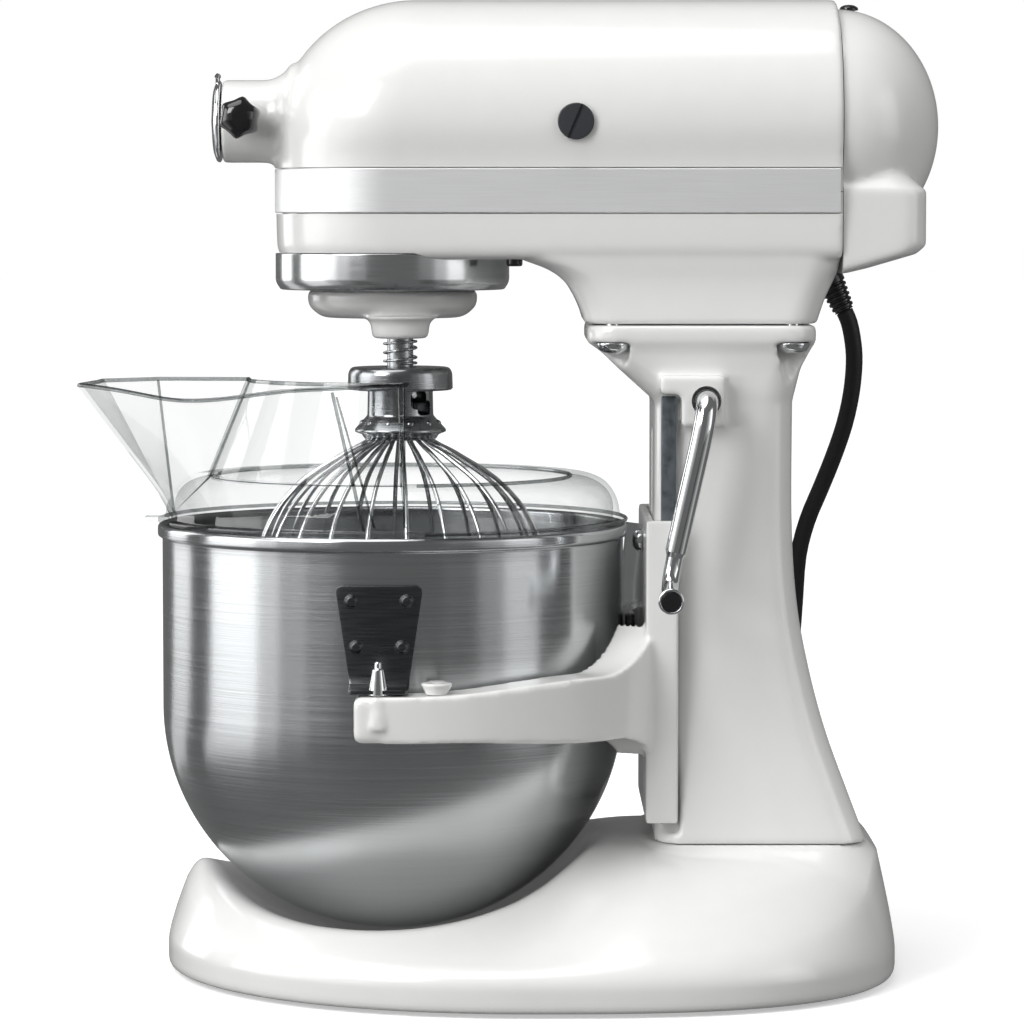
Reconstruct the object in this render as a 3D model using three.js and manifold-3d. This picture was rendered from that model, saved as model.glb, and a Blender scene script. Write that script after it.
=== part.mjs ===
// Bowl-lift stand mixer with a wire whisk and a clear pouring shield.
// Millimetres, +Z up, the attachment hub faces -Y and the bowl-lift lever is on +X.
// Everything is drawn with z = 0 at the lower edge of the base casting, and the
// whole mixer is then raised by the height that its rubber feet stand proud.

import * as THREE from 'three';
import { mergeVertices } from 'three/addons/utils/BufferGeometryUtils.js';
import Module from 'manifold-3d';

const wasm = await Module();
wasm.setup();

// ---------------------------------------------------------------- driving dimensions

const FEET_PROUD = 2;
const GAP = 0.3;

const BOWL_Y = -52;
const BOWL_R = 100.5;
const BOWL_WALL = 1.5;
const BOWL_BOTTOM = 14.5;
const BOWL_SHOULDER = 112;
const BOWL_RIM = 186;
const RIM_TOP = 192;

const BASE_HALF_WIDTH = 139.5;
const BASE_CENTRE_Y = 8;
const BASE_HALF_LENGTH = 158.5;
const BASE_EDGE = 16;
const BASE_CROWN = 57.4;
const BASE_WALL = 5;

const COLUMN_FRONT = 61;
const COLUMN_HALF = 48;
const COLUMN_WALL = 4.5;
const FLANGE_BOTTOM = 271.7;
const FLANGE_TOP = 278.7;

const HEAD_HALF = 52;
const HEAD_REAR = 140.2;
const BAND_BOTTOM = 326;
const BAND_TOP = 345.7;
const SEAM_Z = 335.5;
const BAND_RECESS = 3;
const HEAD_WALL = 4;

const MOTOR_Z = 366;
const HUB_R = 17.9;
const HUB_FRONT = -125.6;
const KNOB_Y = -116.4;
const KNOB_Z = 367;
const BRUSH_Y = 27;
const BRUSH_Z = 365;
const CASE_FLOOR_TOP = 313.5;
const SPEED_Y = 46;
const SPEED_TRAVEL = 45;
const BUTTON_X = 37;
const BUTTON_Y = 1;

const ECCENTRICITY = 25.2;
const BEATER_ANGLE = THREE.MathUtils.degToRad(9);
const WHEEL_X = 26;
const WHEEL_Y = -9.9;

const LEVER_Y = 82.3;
const LEVER_Z = 247;
const PIN_X = 118;
const PIN_Y = -55;
const LOCK_X = 115;
const LOCK_Y = -31;
const ARM_TOP = 128.4;
const ARM_BOTTOM = 109.2;

const CORD_R = 3.75;
const FLOOR_Z = -FEET_PROUD;

// ---------------------------------------------------------------- shape helpers

function faceOutward(geometry) {
  const p = geometry.attributes.position;
  const index = geometry.index.array;
  const [a, b, c] = [new THREE.Vector3(), new THREE.Vector3(), new THREE.Vector3()];
  let volume = 0;
  for (let i = 0; i < index.length; i += 3) {
    a.fromBufferAttribute(p, index[i]);
    b.fromBufferAttribute(p, index[i + 1]);
    c.fromBufferAttribute(p, index[i + 2]);
    volume += a.dot(b.cross(c));
  }
  if (volume < 0) {
    for (let i = 0; i < index.length; i += 3) {
      [index[i], index[i + 1]] = [index[i + 1], index[i]];
    }
  }
  return geometry;
}

// Keeps only positions, with shared corners merged and collapsed triangles dropped.
function weld(geometry) {
  const bare = geometry.clone();
  bare.deleteAttribute('normal');
  bare.deleteAttribute('uv');
  const merged = mergeVertices(bare, 1e-3);
  const index = merged.index.array;
  const kept = [];
  for (let i = 0; i < index.length; i += 3) {
    const [a, b, c] = [index[i], index[i + 1], index[i + 2]];
    if (a !== b && b !== c && a !== c) kept.push(a, b, c);
  }
  merged.setIndex(kept);
  return faceOutward(merged);
}

function toSolid(geometry) {
  const welded = weld(geometry);
  return new wasm.Manifold(new wasm.Mesh({
    numProp: 3,
    vertProperties: new Float32Array(welded.attributes.position.array),
    triVerts: new Uint32Array(welded.index.array),
  }));
}

// Joins the first list of geometries into one body, then cuts the second list out of it.
function build(joined, cuts = []) {
  let solid = toSolid(joined[0]);
  for (const piece of joined.slice(1)) solid = solid.add(toSolid(piece));
  for (const piece of cuts) solid = solid.subtract(toSolid(piece));
  const mesh = solid.getMesh();
  const geometry = new THREE.BufferGeometry();
  geometry.setAttribute('position', new THREE.Float32BufferAttribute(mesh.vertProperties, 3));
  geometry.setIndex(Array.from(mesh.triVerts));
  return weld(geometry);
}

// Closed skin over rings of [x, y, z] points, capped flat at both ends.
function loft(rings) {
  const count = rings[0].length;
  const points = rings.flat();
  const faces = [];
  for (let k = 0; k + 1 < rings.length; k += 1) {
    for (let i = 0; i < count; i += 1) {
      const j = (i + 1) % count;
      const [a, b] = [k * count + i, k * count + j];
      faces.push(a, b, b + count, a, b + count, a + count);
    }
  }
  for (const [k, flip] of [[0, true], [rings.length - 1, false]]) {
    const centre = [0, 1, 2].map((axis) => {
      return rings[k].reduce((sum, point) => sum + point[axis], 0) / count;
    });
    const tip = points.push(centre) - 1;
    for (let i = 0; i < count; i += 1) {
      const [a, b] = [k * count + i, k * count + (i + 1) % count];
      if (flip) faces.push(tip, b, a);
      else faces.push(tip, a, b);
    }
  }
  const geometry = new THREE.BufferGeometry();
  geometry.setAttribute('position', new THREE.Float32BufferAttribute(points.flat(), 3));
  geometry.setIndex(faces);
  return weld(geometry);
}

function block(x0, x1, y0, y1, z0, z1) {
  const box = new THREE.BoxGeometry(x1 - x0, y1 - y0, z1 - z0);
  return box.translate((x0 + x1) / 2, (y0 + y1) / 2, (z0 + z1) / 2);
}

// Round bar or cone between two points.
function rod(from, to, r0, r1 = r0, sides = 16) {
  const [start, end] = [new THREE.Vector3(...from), new THREE.Vector3(...to)];
  const along = end.clone().sub(start);
  const geometry = new THREE.CylinderGeometry(r1, r0, along.length(), sides);
  const turn = new THREE.Quaternion().setFromUnitVectors(
    new THREE.Vector3(0, 1, 0), along.clone().normalize());
  geometry.applyQuaternion(turn);
  return geometry.translate(...start.add(end).multiplyScalar(0.5).toArray());
}

// Turned shape about +Z from [radius, z] pairs.
function turned(profile, sides = 24) {
  const points = profile.map(([r, z]) => new THREE.Vector2(r, z));
  return new THREE.LatheGeometry(points, sides).rotateX(Math.PI / 2);
}

// Turned shape about the motor axis, from [radius, y] pairs.
function turnedAlongY(profile, sides = 20) {
  const points = profile.map(([r, y]) => new THREE.Vector2(r, y));
  return new THREE.LatheGeometry(points, sides).translate(0, 0, MOTOR_Z);
}

function extruded(shape, z0, z1, curveSegments = 12) {
  const settings = { depth: z1 - z0, bevelEnabled: false, curveSegments };
  return new THREE.ExtrudeGeometry(shape, settings).translate(0, 0, z0);
}

function regularShape(radius, sides) {
  const corners = Array.from({ length: sides }, (_, i) => {
    const angle = 2 * Math.PI * i / sides;
    return new THREE.Vector2(radius * Math.cos(angle), radius * Math.sin(angle));
  });
  return new THREE.Shape(corners);
}

function tube(points, radius, sides, steps, closed = false) {
  const path = new THREE.CatmullRomCurve3(points.map((p) => new THREE.Vector3(...p)), closed);
  const settings = { steps, bevelEnabled: false, extrudePath: path };
  return new THREE.ExtrudeGeometry(regularShape(radius, sides), settings);
}

function clamp01(value) {
  return Math.min(1, Math.max(0, value));
}

function smoothStep(low, high, value) {
  const t = clamp01((value - low) / (high - low));
  return t * t * (3 - 2 * t);
}

function smoothMin(a, b, width) {
  const h = clamp01(0.5 + 0.5 * (b - a) / width);
  return b + (a - b) * h - width * h * (1 - h);
}

// ---------------------------------------------------------------- finishes

function finish(color, roughness, metalness, extra = {}) {
  return () => new THREE.MeshStandardMaterial({ color, roughness, metalness, ...extra });
}

const enamel = finish(0xf1f1ee, 0.18, 0);
const chrome = finish(0xd6d9dc, 0.12, 1);
const brushed = finish(0xb9bcbe, 0.32, 1);
const zinc = finish(0x5d6468, 0.5, 1);
const steel = finish(0x9a9da0, 0.35, 1);
const copper = finish(0x9a5a34, 0.4, 1);
const brass = finish(0xb08a3c, 0.35, 1);
const darkSteel = finish(0x3a3d40, 0.35, 0.9);
const blackPlastic = finish(0x141414, 0.3, 0);
const greyPlastic = finish(0x3b3b3d, 0.5, 0);
const greenBoard = finish(0x2c5a3a, 0.6, 0);
const rubber = finish(0x2a2a2a, 0.8, 0);
const clear = finish(0xe8eeee, 0.05, 0, { transparent: true, opacity: 0.35 });

const mixer = new THREE.Group();
mixer.position.z = FEET_PROUD;

function place(parent, name, geometry, material) {
  const mesh = new THREE.Mesh(weld(geometry), material());
  mesh.name = name;
  parent.add(mesh);
  return mesh;
}

// ---------------------------------------------------------------- base and feet

function superellipsePoint(angle) {
  const power = Math.sin(angle) < 0 ? 2.1 : 2.8;
  const [c, s] = [Math.cos(angle), Math.sin(angle)];
  const x = Math.sign(c) * Math.abs(c) ** (2 / power);
  const y = Math.sign(s) * Math.abs(s) ** (2 / power);
  return [x, y];
}

function baseHalfWidthAt(y) {
  const power = y < BASE_CENTRE_Y ? 2.1 : 2.8;
  const t = Math.min(0.999, Math.abs(y - BASE_CENTRE_Y) / BASE_HALF_LENGTH);
  return BASE_HALF_WIDTH * (1 - t ** power) ** (1 / power);
}

// Distance outside the rounded outline that the column stands on.
function outsidePedestal(x, y) {
  const [half, front, rear, corner] = [57, 59, 152.5, 22];
  const dx = Math.max(0, Math.abs(x) - half + corner);
  const middle = (front + rear) / 2;
  const dy = Math.max(0, Math.abs(y - middle) - (rear - front) / 2 + corner);
  return Math.max(0, Math.hypot(dx, dy) - corner);
}

// Height of the base's top skin: a crown, a pedestal for the column and a dish for the bowl.
function baseTop(x, y) {
  const t = Math.abs(y - BASE_CENTRE_Y) / BASE_HALF_LENGTH;
  const along = 1 - Math.min(1, t) ** (y < BASE_CENTRE_Y ? 13 : 30);
  const acrossPower = 1.2 + 1.8 * smoothStep(0, 60, y);
  const across = 1 - Math.min(1, Math.abs(x) / baseHalfWidthAt(y)) ** acrossPower;
  const crown = BASE_EDGE + (BASE_CROWN - BASE_EDGE) * along * Math.max(0, across);
  const away = outsidePedestal(x, y);
  const pedestal = BASE_CROWN - 0.9 * away - 0.03 * away * away;
  const hill = Math.min(BASE_CROWN, Math.max(crown, pedestal));
  const inside = 1 - (x / 161) ** 2 - ((y - BOWL_Y) / 105.5) ** 2;
  if (inside <= 0) return hill;
  return smoothMin(hill, 115 - 106.5 * Math.sqrt(inside), 5);
}

const FOOT_R = 9;
const PAD_R = 12;
const FEET = [[100, -66], [-100, -66], [96, 112], [-96, 112], [0, -134]];

// A foot pad stops inside the skin, below its lowest point over the whole pad.
function padTop(x, y) {
  const heights = [0, 45, 90, 135, 180, 225, 270, 315].map((deg) => {
    const angle = THREE.MathUtils.degToRad(deg);
    return baseTop(x + PAD_R * Math.cos(angle), y + PAD_R * Math.sin(angle));
  });
  return Math.min(...heights) - 2;
}

function baseCasting() {
  const around = 32;
  const ring = (scale, inset, height) => Array.from({ length: around }, (_, i) => {
    const [ux, uy] = superellipsePoint(2 * Math.PI * i / around);
    const x = scale * ux * (BASE_HALF_WIDTH - inset);
    const y = BASE_CENTRE_Y + scale * uy * (BASE_HALF_LENGTH - inset);
    return [x, y, height(x, y)];
  });
  const outside = [1, 0.98, 0.93, 0.86, 0.78, 0.68, 0.56, 0.42, 0.28, 0.14, 0.01];
  const skin = [ring(1, 0, () => 0), ring(1, 0, () => BASE_EDGE - 2)];
  for (const scale of outside.slice(1)) skin.push(ring(scale, 0, baseTop));
  const hollow = [ring(1, BASE_WALL, () => -5)];
  for (const scale of [1, 0.86, 0.68, 0.48, 0.24, 0.01]) {
    hollow.push(ring(scale, BASE_WALL, (x, y) => Math.max(2, baseTop(x, y) - BASE_WALL)));
  }
  const pads = FEET.map(([x, y]) => rod([x, y, 0], [x, y, padTop(x, y)], PAD_R, PAD_R, 10));
  const shell = build([loft(skin)], [loft(hollow)]);
  const seats = FEET.map(([x, y]) => rod([x, y, -1], [x, y, 3], FOOT_R + 0.4, FOOT_R + 0.4, 12));
  return build([shell, ...pads], seats);
}

place(mixer, 'base', baseCasting(), enamel);
FEET.forEach(([x, y], i) => {
  const profile = [[0, FLOOR_Z], [FOOT_R - 1, FLOOR_Z], [FOOT_R, FLOOR_Z + 1], [FOOT_R, 2.6], [0, 2.6]];
  place(mixer, `foot_${i + 1}`, turned(profile, 12), rubber).position.set(x, y, 0);
});

// ---------------------------------------------------------------- column

function roundedSection(half, front, rear, corner, z, perCorner = 4) {
  const corners = [
    [half - corner, rear - corner, 0],
    [-half + corner, rear - corner, 90],
    [-half + corner, front + corner, 180],
    [half - corner, front + corner, 270],
  ];
  return corners.flatMap(([x, y, start]) => Array.from({ length: perCorner }, (_, i) => {
    const angle = THREE.MathUtils.degToRad(start + 90 * i / (perCorner - 1));
    return [x + corner * Math.cos(angle), y + corner * Math.sin(angle), z];
  }));
}

// Height, half width, front and rear of the column from its foot to the flange.
const COLUMN_STATIONS = [
  [57.7, 56, COLUMN_FRONT, 152],
  [77, 52.5, COLUMN_FRONT, 144.7],
  [104, 49.5, COLUMN_FRONT, 134.9],
  [131, COLUMN_HALF, COLUMN_FRONT, 127.6],
  [160, COLUMN_HALF, COLUMN_FRONT, 122.3],
  [195, COLUMN_HALF, COLUMN_FRONT, 120],
  [246, COLUMN_HALF, COLUMN_FRONT, 120],
  [260, 49, 45.5, 123.4],
  [267, 50, 38.3, 127],
  [FLANGE_BOTTOM, 52, 32, 129.8],
  [FLANGE_TOP, 52, 32, 129.8],
];
const RAIL_X = 48.5;
const RAIL_THICK = 3;
const SCREW_X = 45;
const SCREWS = [[SCREW_X, 43], [-SCREW_X, 43], [SCREW_X, 119.6], [-SCREW_X, 119.6]];

function columnCasting() {
  const outer = COLUMN_STATIONS.map(([z, half, front, rear]) => {
    return roundedSection(half, front, rear, 14, z);
  });
  const inner = COLUMN_STATIONS.map(([z, half, front, rear], i) => {
    const level = i === 0 ? z - 5 : z;
    const innerHalf = z > 250 ? SCREW_X - 10.5 : half - COLUMN_WALL;
    const innerFront = z > 262 ? 53 : front + COLUMN_WALL;
    return roundedSection(innerHalf, innerFront, Math.min(rear - COLUMN_WALL, 110 + 0.9 * (246 - z)
      * (z < 246)), 8, level, 3);
  });
  inner.push(inner[inner.length - 1].map(([x, y, z]) => [x, y, z + 5]));
  const boss = block(40, 57, 71.8, 90, 236, 258);
  const bore = rod([20, LEVER_Y, LEVER_Z], [60, LEVER_Y, LEVER_Z], 5.5);
  const railSeats = [-1, 1].map((side) => {
    const [a, b] = [side * (COLUMN_HALF + 0.2), side * 72];
    return block(Math.min(a, b), Math.max(a, b), 50, 71.4, 62, 249);
  });
  const slot = block(-7.5, 7.5, 50, 72, 96, 212);
  const holes = SCREWS.map(([x, y]) => rod([x, y, 268], [x, y, 290], 3.3, 3.3, 10));
  const pockets = SCREWS.map(([x, y]) => {
    return rod([x * 1.02, y, 256], [x * 1.02, y, FLANGE_BOTTOM - 0.2], 4, 8.6, 14);
  });
  const shell = build([loft(outer)], [loft(inner), ...railSeats, slot, ...pockets, ...holes]);
  return build([shell, boss], [bore]);
}

place(mixer, 'column', columnCasting(), enamel);
for (const [side, label] of [[-1, 'left'], [1, 'right']]) {
  const [a, b] = [side * RAIL_X, side * (RAIL_X + RAIL_THICK)];
  const bar = block(Math.min(a, b), Math.max(a, b), 63.3, 69.7, 66, 248.7);
  place(mixer, `guide_rail_${label}`, bar, zinc);
}

// ---------------------------------------------------------------- head shells

// Outline of the head seen from above: straight sides and a half-round nose.
function headOutline(half, front, arcStart, rear, z, arcSteps = 14) {
  const points = [[half, rear, z]];
  for (let i = 0; i <= arcSteps; i += 1) {
    const angle = Math.PI * i / arcSteps;
    points.push([half * Math.cos(angle), arcStart - (arcStart - front) * Math.sin(angle), z]);
  }
  points.push([-half, rear, z]);
  return points;
}

const CROWN_Z = 363;
const CROWN_RISE = 55.4;

function headSection(z, inset, rear) {
  const up = clamp01((z - CROWN_Z) / CROWN_RISE);
  const belly = HEAD_HALF + 2 * smoothStep(BAND_TOP, CROWN_Z, z);
  const half = Math.max(3, (z > CROWN_Z ? 54 * Math.sqrt(1 - up * up) : belly) - inset);
  const rise = clamp01((z - 360) / 58.4);
  const front = z > 360 ? -41 - 61.5 * Math.sqrt(1 - rise * rise) : -102.7;
  const arcStart = BOWL_Y + 11 * clamp01((z - BAND_TOP) / 50);
  return headOutline(half, Math.min(front + inset, arcStart - 3), arcStart, rear, z);
}

const CROWN_STEPS = [0, 12, 24, 36, 48, 58, 67, 75, 82];

function motorHousing() {
  const crown = CROWN_STEPS.map((deg) => {
    return CROWN_Z + CROWN_RISE * Math.sin(THREE.MathUtils.degToRad(deg));
  });
  const outer = [
    headSection(SEAM_Z, BAND_RECESS, HEAD_REAR),
    headSection(BAND_TOP, BAND_RECESS, HEAD_REAR),
    headSection(BAND_TOP + 0.05, 0, HEAD_REAR),
    headSection(354, 0, HEAD_REAR),
    ...crown.map((z) => headSection(z, 0, HEAD_REAR)),
    headSection(CROWN_Z + CROWN_RISE, 0, HEAD_REAR),
  ];
  const wall = HEAD_WALL + BAND_RECESS - 0.5;
  const inner = [
    headSection(SEAM_Z - 5, wall, HEAD_REAR + 5),
    headSection(354, wall, HEAD_REAR + 5),
    ...[366, 380, 394, 404, 410].map((z) => headSection(z + 2, wall, HEAD_REAR + 5)),
  ];
  const hub = rod([0, HUB_FRONT, MOTOR_Z], [0, -92, MOTOR_Z], HUB_R, HUB_R, 28);
  const fillet = rod([0, -108, MOTOR_Z], [0, -94, MOTOR_Z], HUB_R - 1, HUB_R + 2, 28);
  const bore = rod([0, HUB_FRONT - 2, MOTOR_Z], [0, -80, MOTOR_Z], 13, 13, 24);
  const knobHole = rod([8, KNOB_Y, KNOB_Z], [24, KNOB_Y, KNOB_Z], 3.2, 3.2, 12);
  const brushHoles = rod([-60, BRUSH_Y, BRUSH_Z], [60, BRUSH_Y, BRUSH_Z], 4.5, 4.5, 12);
  return build([loft(outer), hub, fillet], [loft(inner), bore, knobHole, brushHoles]);
}

// Height, front and rear of the neck that flares down from the head to the flange.
const NECK_STATIONS = [
  [309, 2, 139.6, 50],
  [306.6, 4, 139.6, 50],
  [302.4, 15, 139.2, 49.5],
  [297.5, 22, 137.2, 49],
  [291, 26.5, 134.2, 49],
  [284, 29.7, 131.6, 49.5],
  [FLANGE_TOP + GAP, 31, 130.2, 50],
];

const RELIEF_POINT = new THREE.Vector3(0, 140.5, 293);
const RELIEF_DIRECTION = new THREE.Vector3(0, 0.42, -0.907).normalize();

function alongRelief(distance) {
  return RELIEF_POINT.clone().addScaledVector(RELIEF_DIRECTION, distance).toArray();
}

function reliefBore() {
  return rod(alongRelief(-20), alongRelief(20), 6.8, 6.8, 12);
}

function gearCase() {
  const outer = [
    headSection(SEAM_Z - GAP, BAND_RECESS, HEAD_REAR),
    headSection(BAND_BOTTOM, BAND_RECESS, HEAD_REAR),
    headSection(BAND_BOTTOM - 0.05, 0.3, HEAD_REAR),
    headSection(312, 0.6, HEAD_REAR),
    headSection(308.5, 2, HEAD_REAR),
    headSection(306.6, 5, HEAD_REAR),
  ];
  const wall = HEAD_WALL + BAND_RECESS - 0.5;
  const inner = [
    headSection(SEAM_Z + 5, wall, HEAD_REAR - 4),
    headSection(CASE_FLOOR_TOP, wall, HEAD_REAR - 4),
  ];
  const neck = NECK_STATIONS.map(([z, front, rear, half]) => {
    return roundedSection(half, front, rear, 14, z);
  });
  const hollow = NECK_STATIONS.map(([z, , rear, half]) => {
    return roundedSection(half - 9, 37, rear - 6, 8, z, 3);
  });
  hollow.unshift(hollow[0].map(([x, y, z]) => [x, y, z + 8]));
  hollow.push(hollow[hollow.length - 1].map(([x, y, z]) => [x, y, z - 3]));
  const ringSeat = rod([0, BOWL_Y, 300], [0, BOWL_Y, 309.3], 52.5, 52.5, 32);
  const shaftBore = rod([0, BOWL_Y, 300], [0, BOWL_Y, 320], 8.5);
  const speedSlot = block(-60, -40, SPEED_Y - 4, SPEED_Y + SPEED_TRAVEL + 4, 318.5, 323.5);
  const buttonHole = rod([BUTTON_X, BUTTON_Y, 300], [BUTTON_X, BUTTON_Y, 320], 4, 4, 12);
  const cordHole = reliefBore();
  const screwHoles = SCREWS.map(([x, y]) => rod([x, y, 270], [x, y, 291], 3.3, 3.3, 10));
  return build([loft(outer), loft(neck)],
    [loft(inner), loft(hollow), ringSeat, shaftBore, speedSlot, buttonHole, cordHole, ...screwHoles]);
}

// Domed cover over the back of the motor, with a squarer lower part.
function rearCover() {
  const start = HEAD_REAR + GAP;
  const dome = (inset) => {
    const ball = new THREE.SphereGeometry(1, 24, 14).rotateX(Math.PI / 2);
    ball.scale(50.8 - inset, 44.4 - inset, 51 - inset);
    return ball.translate(0, start, 363.4);
  };
  const lower = (inset) => {
    const [half, back] = [48.5 - inset, 176.5 - inset];
    const stations = [[300.6, 142, 0], [303, 152, 0], [306.5, 164, 0], [309, back - 4, 0],
      [312.5, back, 0], [336, back, 0], [350, back - 16, 12]];
    return stations.map(([z, rear, narrower]) => {
      const level = z < 320 ? z + inset * 1.3 : z - inset * 0.5;
      return roundedSection(half - narrower, start - 12, Math.min(rear, back), 11, level);
    });
  };
  const shell = build([dome(0), loft(lower(0))], [block(-70, 70, 60, start, 280, 430)]);
  const screwHole = rod([0, 146, 400], [0, 146, 420], 2.4, 2.4, 10);
  return build([shell], [dome(3.5), loft(lower(3.5)), screwHole, reliefBore()]);
}

function trimBand() {
  const path = (points) => points.map(([x, y]) => new THREE.Vector2(x, y));
  const rear = HEAD_REAR - 1.2;
  const outer = headOutline(HEAD_HALF + 0.2, -103, BOWL_Y, rear, 0, 24);
  const inner = headOutline(HEAD_HALF - BAND_RECESS + 0.4, -100.1, BOWL_Y, rear, 0, 24).reverse();
  return extruded(new THREE.Shape(path([...outer, ...inner])), BAND_BOTTOM + GAP, BAND_TOP - GAP);
}

place(mixer, 'motor_housing', motorHousing(), enamel);
place(mixer, 'gear_case', gearCase(), enamel);
place(mixer, 'rear_cover', rearCover(), enamel);
place(mixer, 'trim_band', trimBand(), brushed);

const coverScrew = turned([[0, 408], [2, 408], [2, 414.2], [4, 414.2], [3.4, 415.8], [0, 416.4]], 14);
place(mixer, 'rear_cover_screw', coverScrew, blackPlastic).position.set(0, 146, 0);

for (const [side, label] of [[-1, 'left'], [1, 'right']]) {
  const cap = rod([side * 54.3, 0, 0], [side * 56, 0, 0], 7.8, 7.5, 28);
  const stem = rod([side * 46, 0, 0], [side * 54.6, 0, 0], 4, 4, 12);
  const slotCut = block(side * 55.6 - 1, side * 55.6 + 1, -0.8, 0.8, -9, 9);
  slotCut.translate(side * 0.4, 0, 0);
  slotCut.rotateX(THREE.MathUtils.degToRad(-23));
  place(mixer, `brush_cap_${label}`, build([cap, stem], [slotCut]), greyPlastic)
    .position.set(0, BRUSH_Y, BRUSH_Z);
}

SCREWS.forEach(([x, y], i) => {
  const profile = [[0, 266.6], [4, 267.2], [6.6, 269], [7, 271.2], [2.8, 271.2], [2.8, 289], [0, 289]];
  place(mixer, `flange_screw_${i + 1}`, turned(profile, 14), chrome).position.set(x, y, 0);
});

// ---------------------------------------------------------------- gears

// Straight-toothed outline. An internal gear has its tooth tips on the smaller radius.
function toothedShape(teeth, pitchRadius, internal = false, phase = 0) {
  const module = 2 * pitchRadius / teeth;
  const [tip, root] = internal ? [-0.8 * module, 1.1 * module] : [0.8 * module, -1.1 * module];
  const [tipHalf, rootHalf] = [0.13, 0.29];
  const corners = [];
  for (let i = 0; i < teeth; i += 1) {
    for (const [offset, radial] of [[-rootHalf, root], [-tipHalf, tip], [tipHalf, tip], [rootHalf, root]]) {
      const angle = 2 * Math.PI * (i + offset) / teeth + phase;
      const r = pitchRadius + radial;
      corners.push(new THREE.Vector2(r * Math.cos(angle), r * Math.sin(angle)));
    }
  }
  return corners;
}

const RING_TEETH = 36;
const BEATER_TEETH = 10;
const GEAR_MODULE = 2 * ECCENTRICITY / (RING_TEETH - BEATER_TEETH);
const WHEEL_DISTANCE = Math.hypot(WHEEL_X, WHEEL_Y - BOWL_Y);
const CENTRE_TEETH = 40;
const WHEEL_TEETH = 13;
const CENTRE_PITCH = WHEEL_DISTANCE * CENTRE_TEETH / (CENTRE_TEETH + WHEEL_TEETH);
const WHEEL_PITCH = WHEEL_DISTANCE - CENTRE_PITCH;
const WHEEL_ANGLE = Math.atan2(WHEEL_Y - BOWL_Y, WHEEL_X);

function ringGear() {
  const shape = new THREE.Shape(regularShape(44, 28).getPoints());
  shape.holes.push(new THREE.Path(
    toothedShape(RING_TEETH, GEAR_MODULE * RING_TEETH / 2, true, BEATER_ANGLE)));
  return extruded(shape, 298, 308.6);
}

function gearWheel(teeth, pitch, bore, z0, z1, phase) {
  const shape = new THREE.Shape(toothedShape(teeth, pitch, false, phase));
  shape.holes.push(new THREE.Path(regularShape(bore, 16).getPoints()));
  return extruded(shape, z0, z1);
}

place(mixer, 'ring_gear', ringGear(), steel).position.set(0, BOWL_Y, 0);
const ringProfile = [[46, 294.6], [47, 293.2], [48.6, 293.2], [50, 294.2], [50.8, 296], [50.8, 309],
  [46, 309], [46, 294.6]];
place(mixer, 'drip_ring', turned(ringProfile, 28), chrome).position.set(0, BOWL_Y, 0);

// ---------------------------------------------------------------- motor and worm drive

const statorProfile = [[21.5, 46], [38, 46], [38, 94], [21.5, 94], [21.5, 46]];
place(mixer, 'motor_stator', turnedAlongY(statorProfile), copper);

const bracket = build([rod([0, 110, MOTOR_Z], [0, 114, MOTOR_Z], 43, 43, 24)],
  [rod([0, 105, MOTOR_Z], [0, 120, MOTOR_Z], 4.5, 4.5, 12),
    ...[0, 90, 180, 270].map((deg) => {
      const a = THREE.MathUtils.degToRad(deg);
      const [x, z] = [25 * Math.cos(a), MOTOR_Z + 25 * Math.sin(a)];
      return rod([x, 105, z], [x, 120, z], 8, 8, 10);
    })]);
place(mixer, 'bearing_bracket', bracket, zinc);
place(mixer, 'control_board', block(-28, 28, 146, 148, 322, 352), greenBoard);

const armatureProfile = [[0, -24], [5, -24]];
for (let y = -21; y <= 0; y += 5.25) armatureProfile.push([7, y], [7, y + 2], [5, y + 3.4]);
armatureProfile.push([4, 4], [4, 18], [11.5, 18], [11.5, 36], [6, 38], [6, 47], [20.8, 47], [20.8, 93],
  [6, 94], [6, 99], [30, 99], [30, 103], [4, 103], [4, 122], [0, 122]);
place(mixer, 'armature', turnedAlongY(armatureProfile, 12), copper);

const wheelProfile = [[0, 319], [4.6, 319], [4.6, 360], [17, 360], [18.4, 361.5], [18.4, 370.5],
  [17, 372], [4.6, 372], [4.6, 378], [0, 378]];
const wheelPinion = new THREE.Shape(
  toothedShape(WHEEL_TEETH, WHEEL_PITCH, false, Math.PI + WHEEL_ANGLE + Math.PI / WHEEL_TEETH));
place(mixer, 'worm_wheel', build([turned(wheelProfile, 16), extruded(wheelPinion, 322, 331)]), brass)
  .position.set(WHEEL_X, WHEEL_Y, 0);

// ---------------------------------------------------------------- planetary and beater drive

const planetary = new THREE.Group();
planetary.position.y = BOWL_Y;
mixer.add(planetary);
const beater = new THREE.Group();
beater.position.set(ECCENTRICITY * Math.cos(BEATER_ANGLE), ECCENTRICITY * Math.sin(BEATER_ANGLE), 0);
planetary.add(beater);
const [beaterX, beaterY] = [beater.position.x, beater.position.y];

const dish = turned([[0, 281], [32, 281], [35.6, 283], [36.8, 287], [36.8, 291.6], [35.6, 293],
  [14, 293], [12, 296], [0, 296]], 24);
const neckBoss = rod([beaterX, beaterY, 272.6], [beaterX, beaterY, 284], 12.2, 12.8, 24);
const dishCuts = [
  rod([beaterX, beaterY, 270], [beaterX, beaterY, 300], 6.1, 6.1, 16),
  rod([0, 0, 284], [0, 0, 300], 7.3, 7.3, 16),
];
place(planetary, 'planetary_housing', build([dish, neckBoss], dishCuts), enamel);

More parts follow.
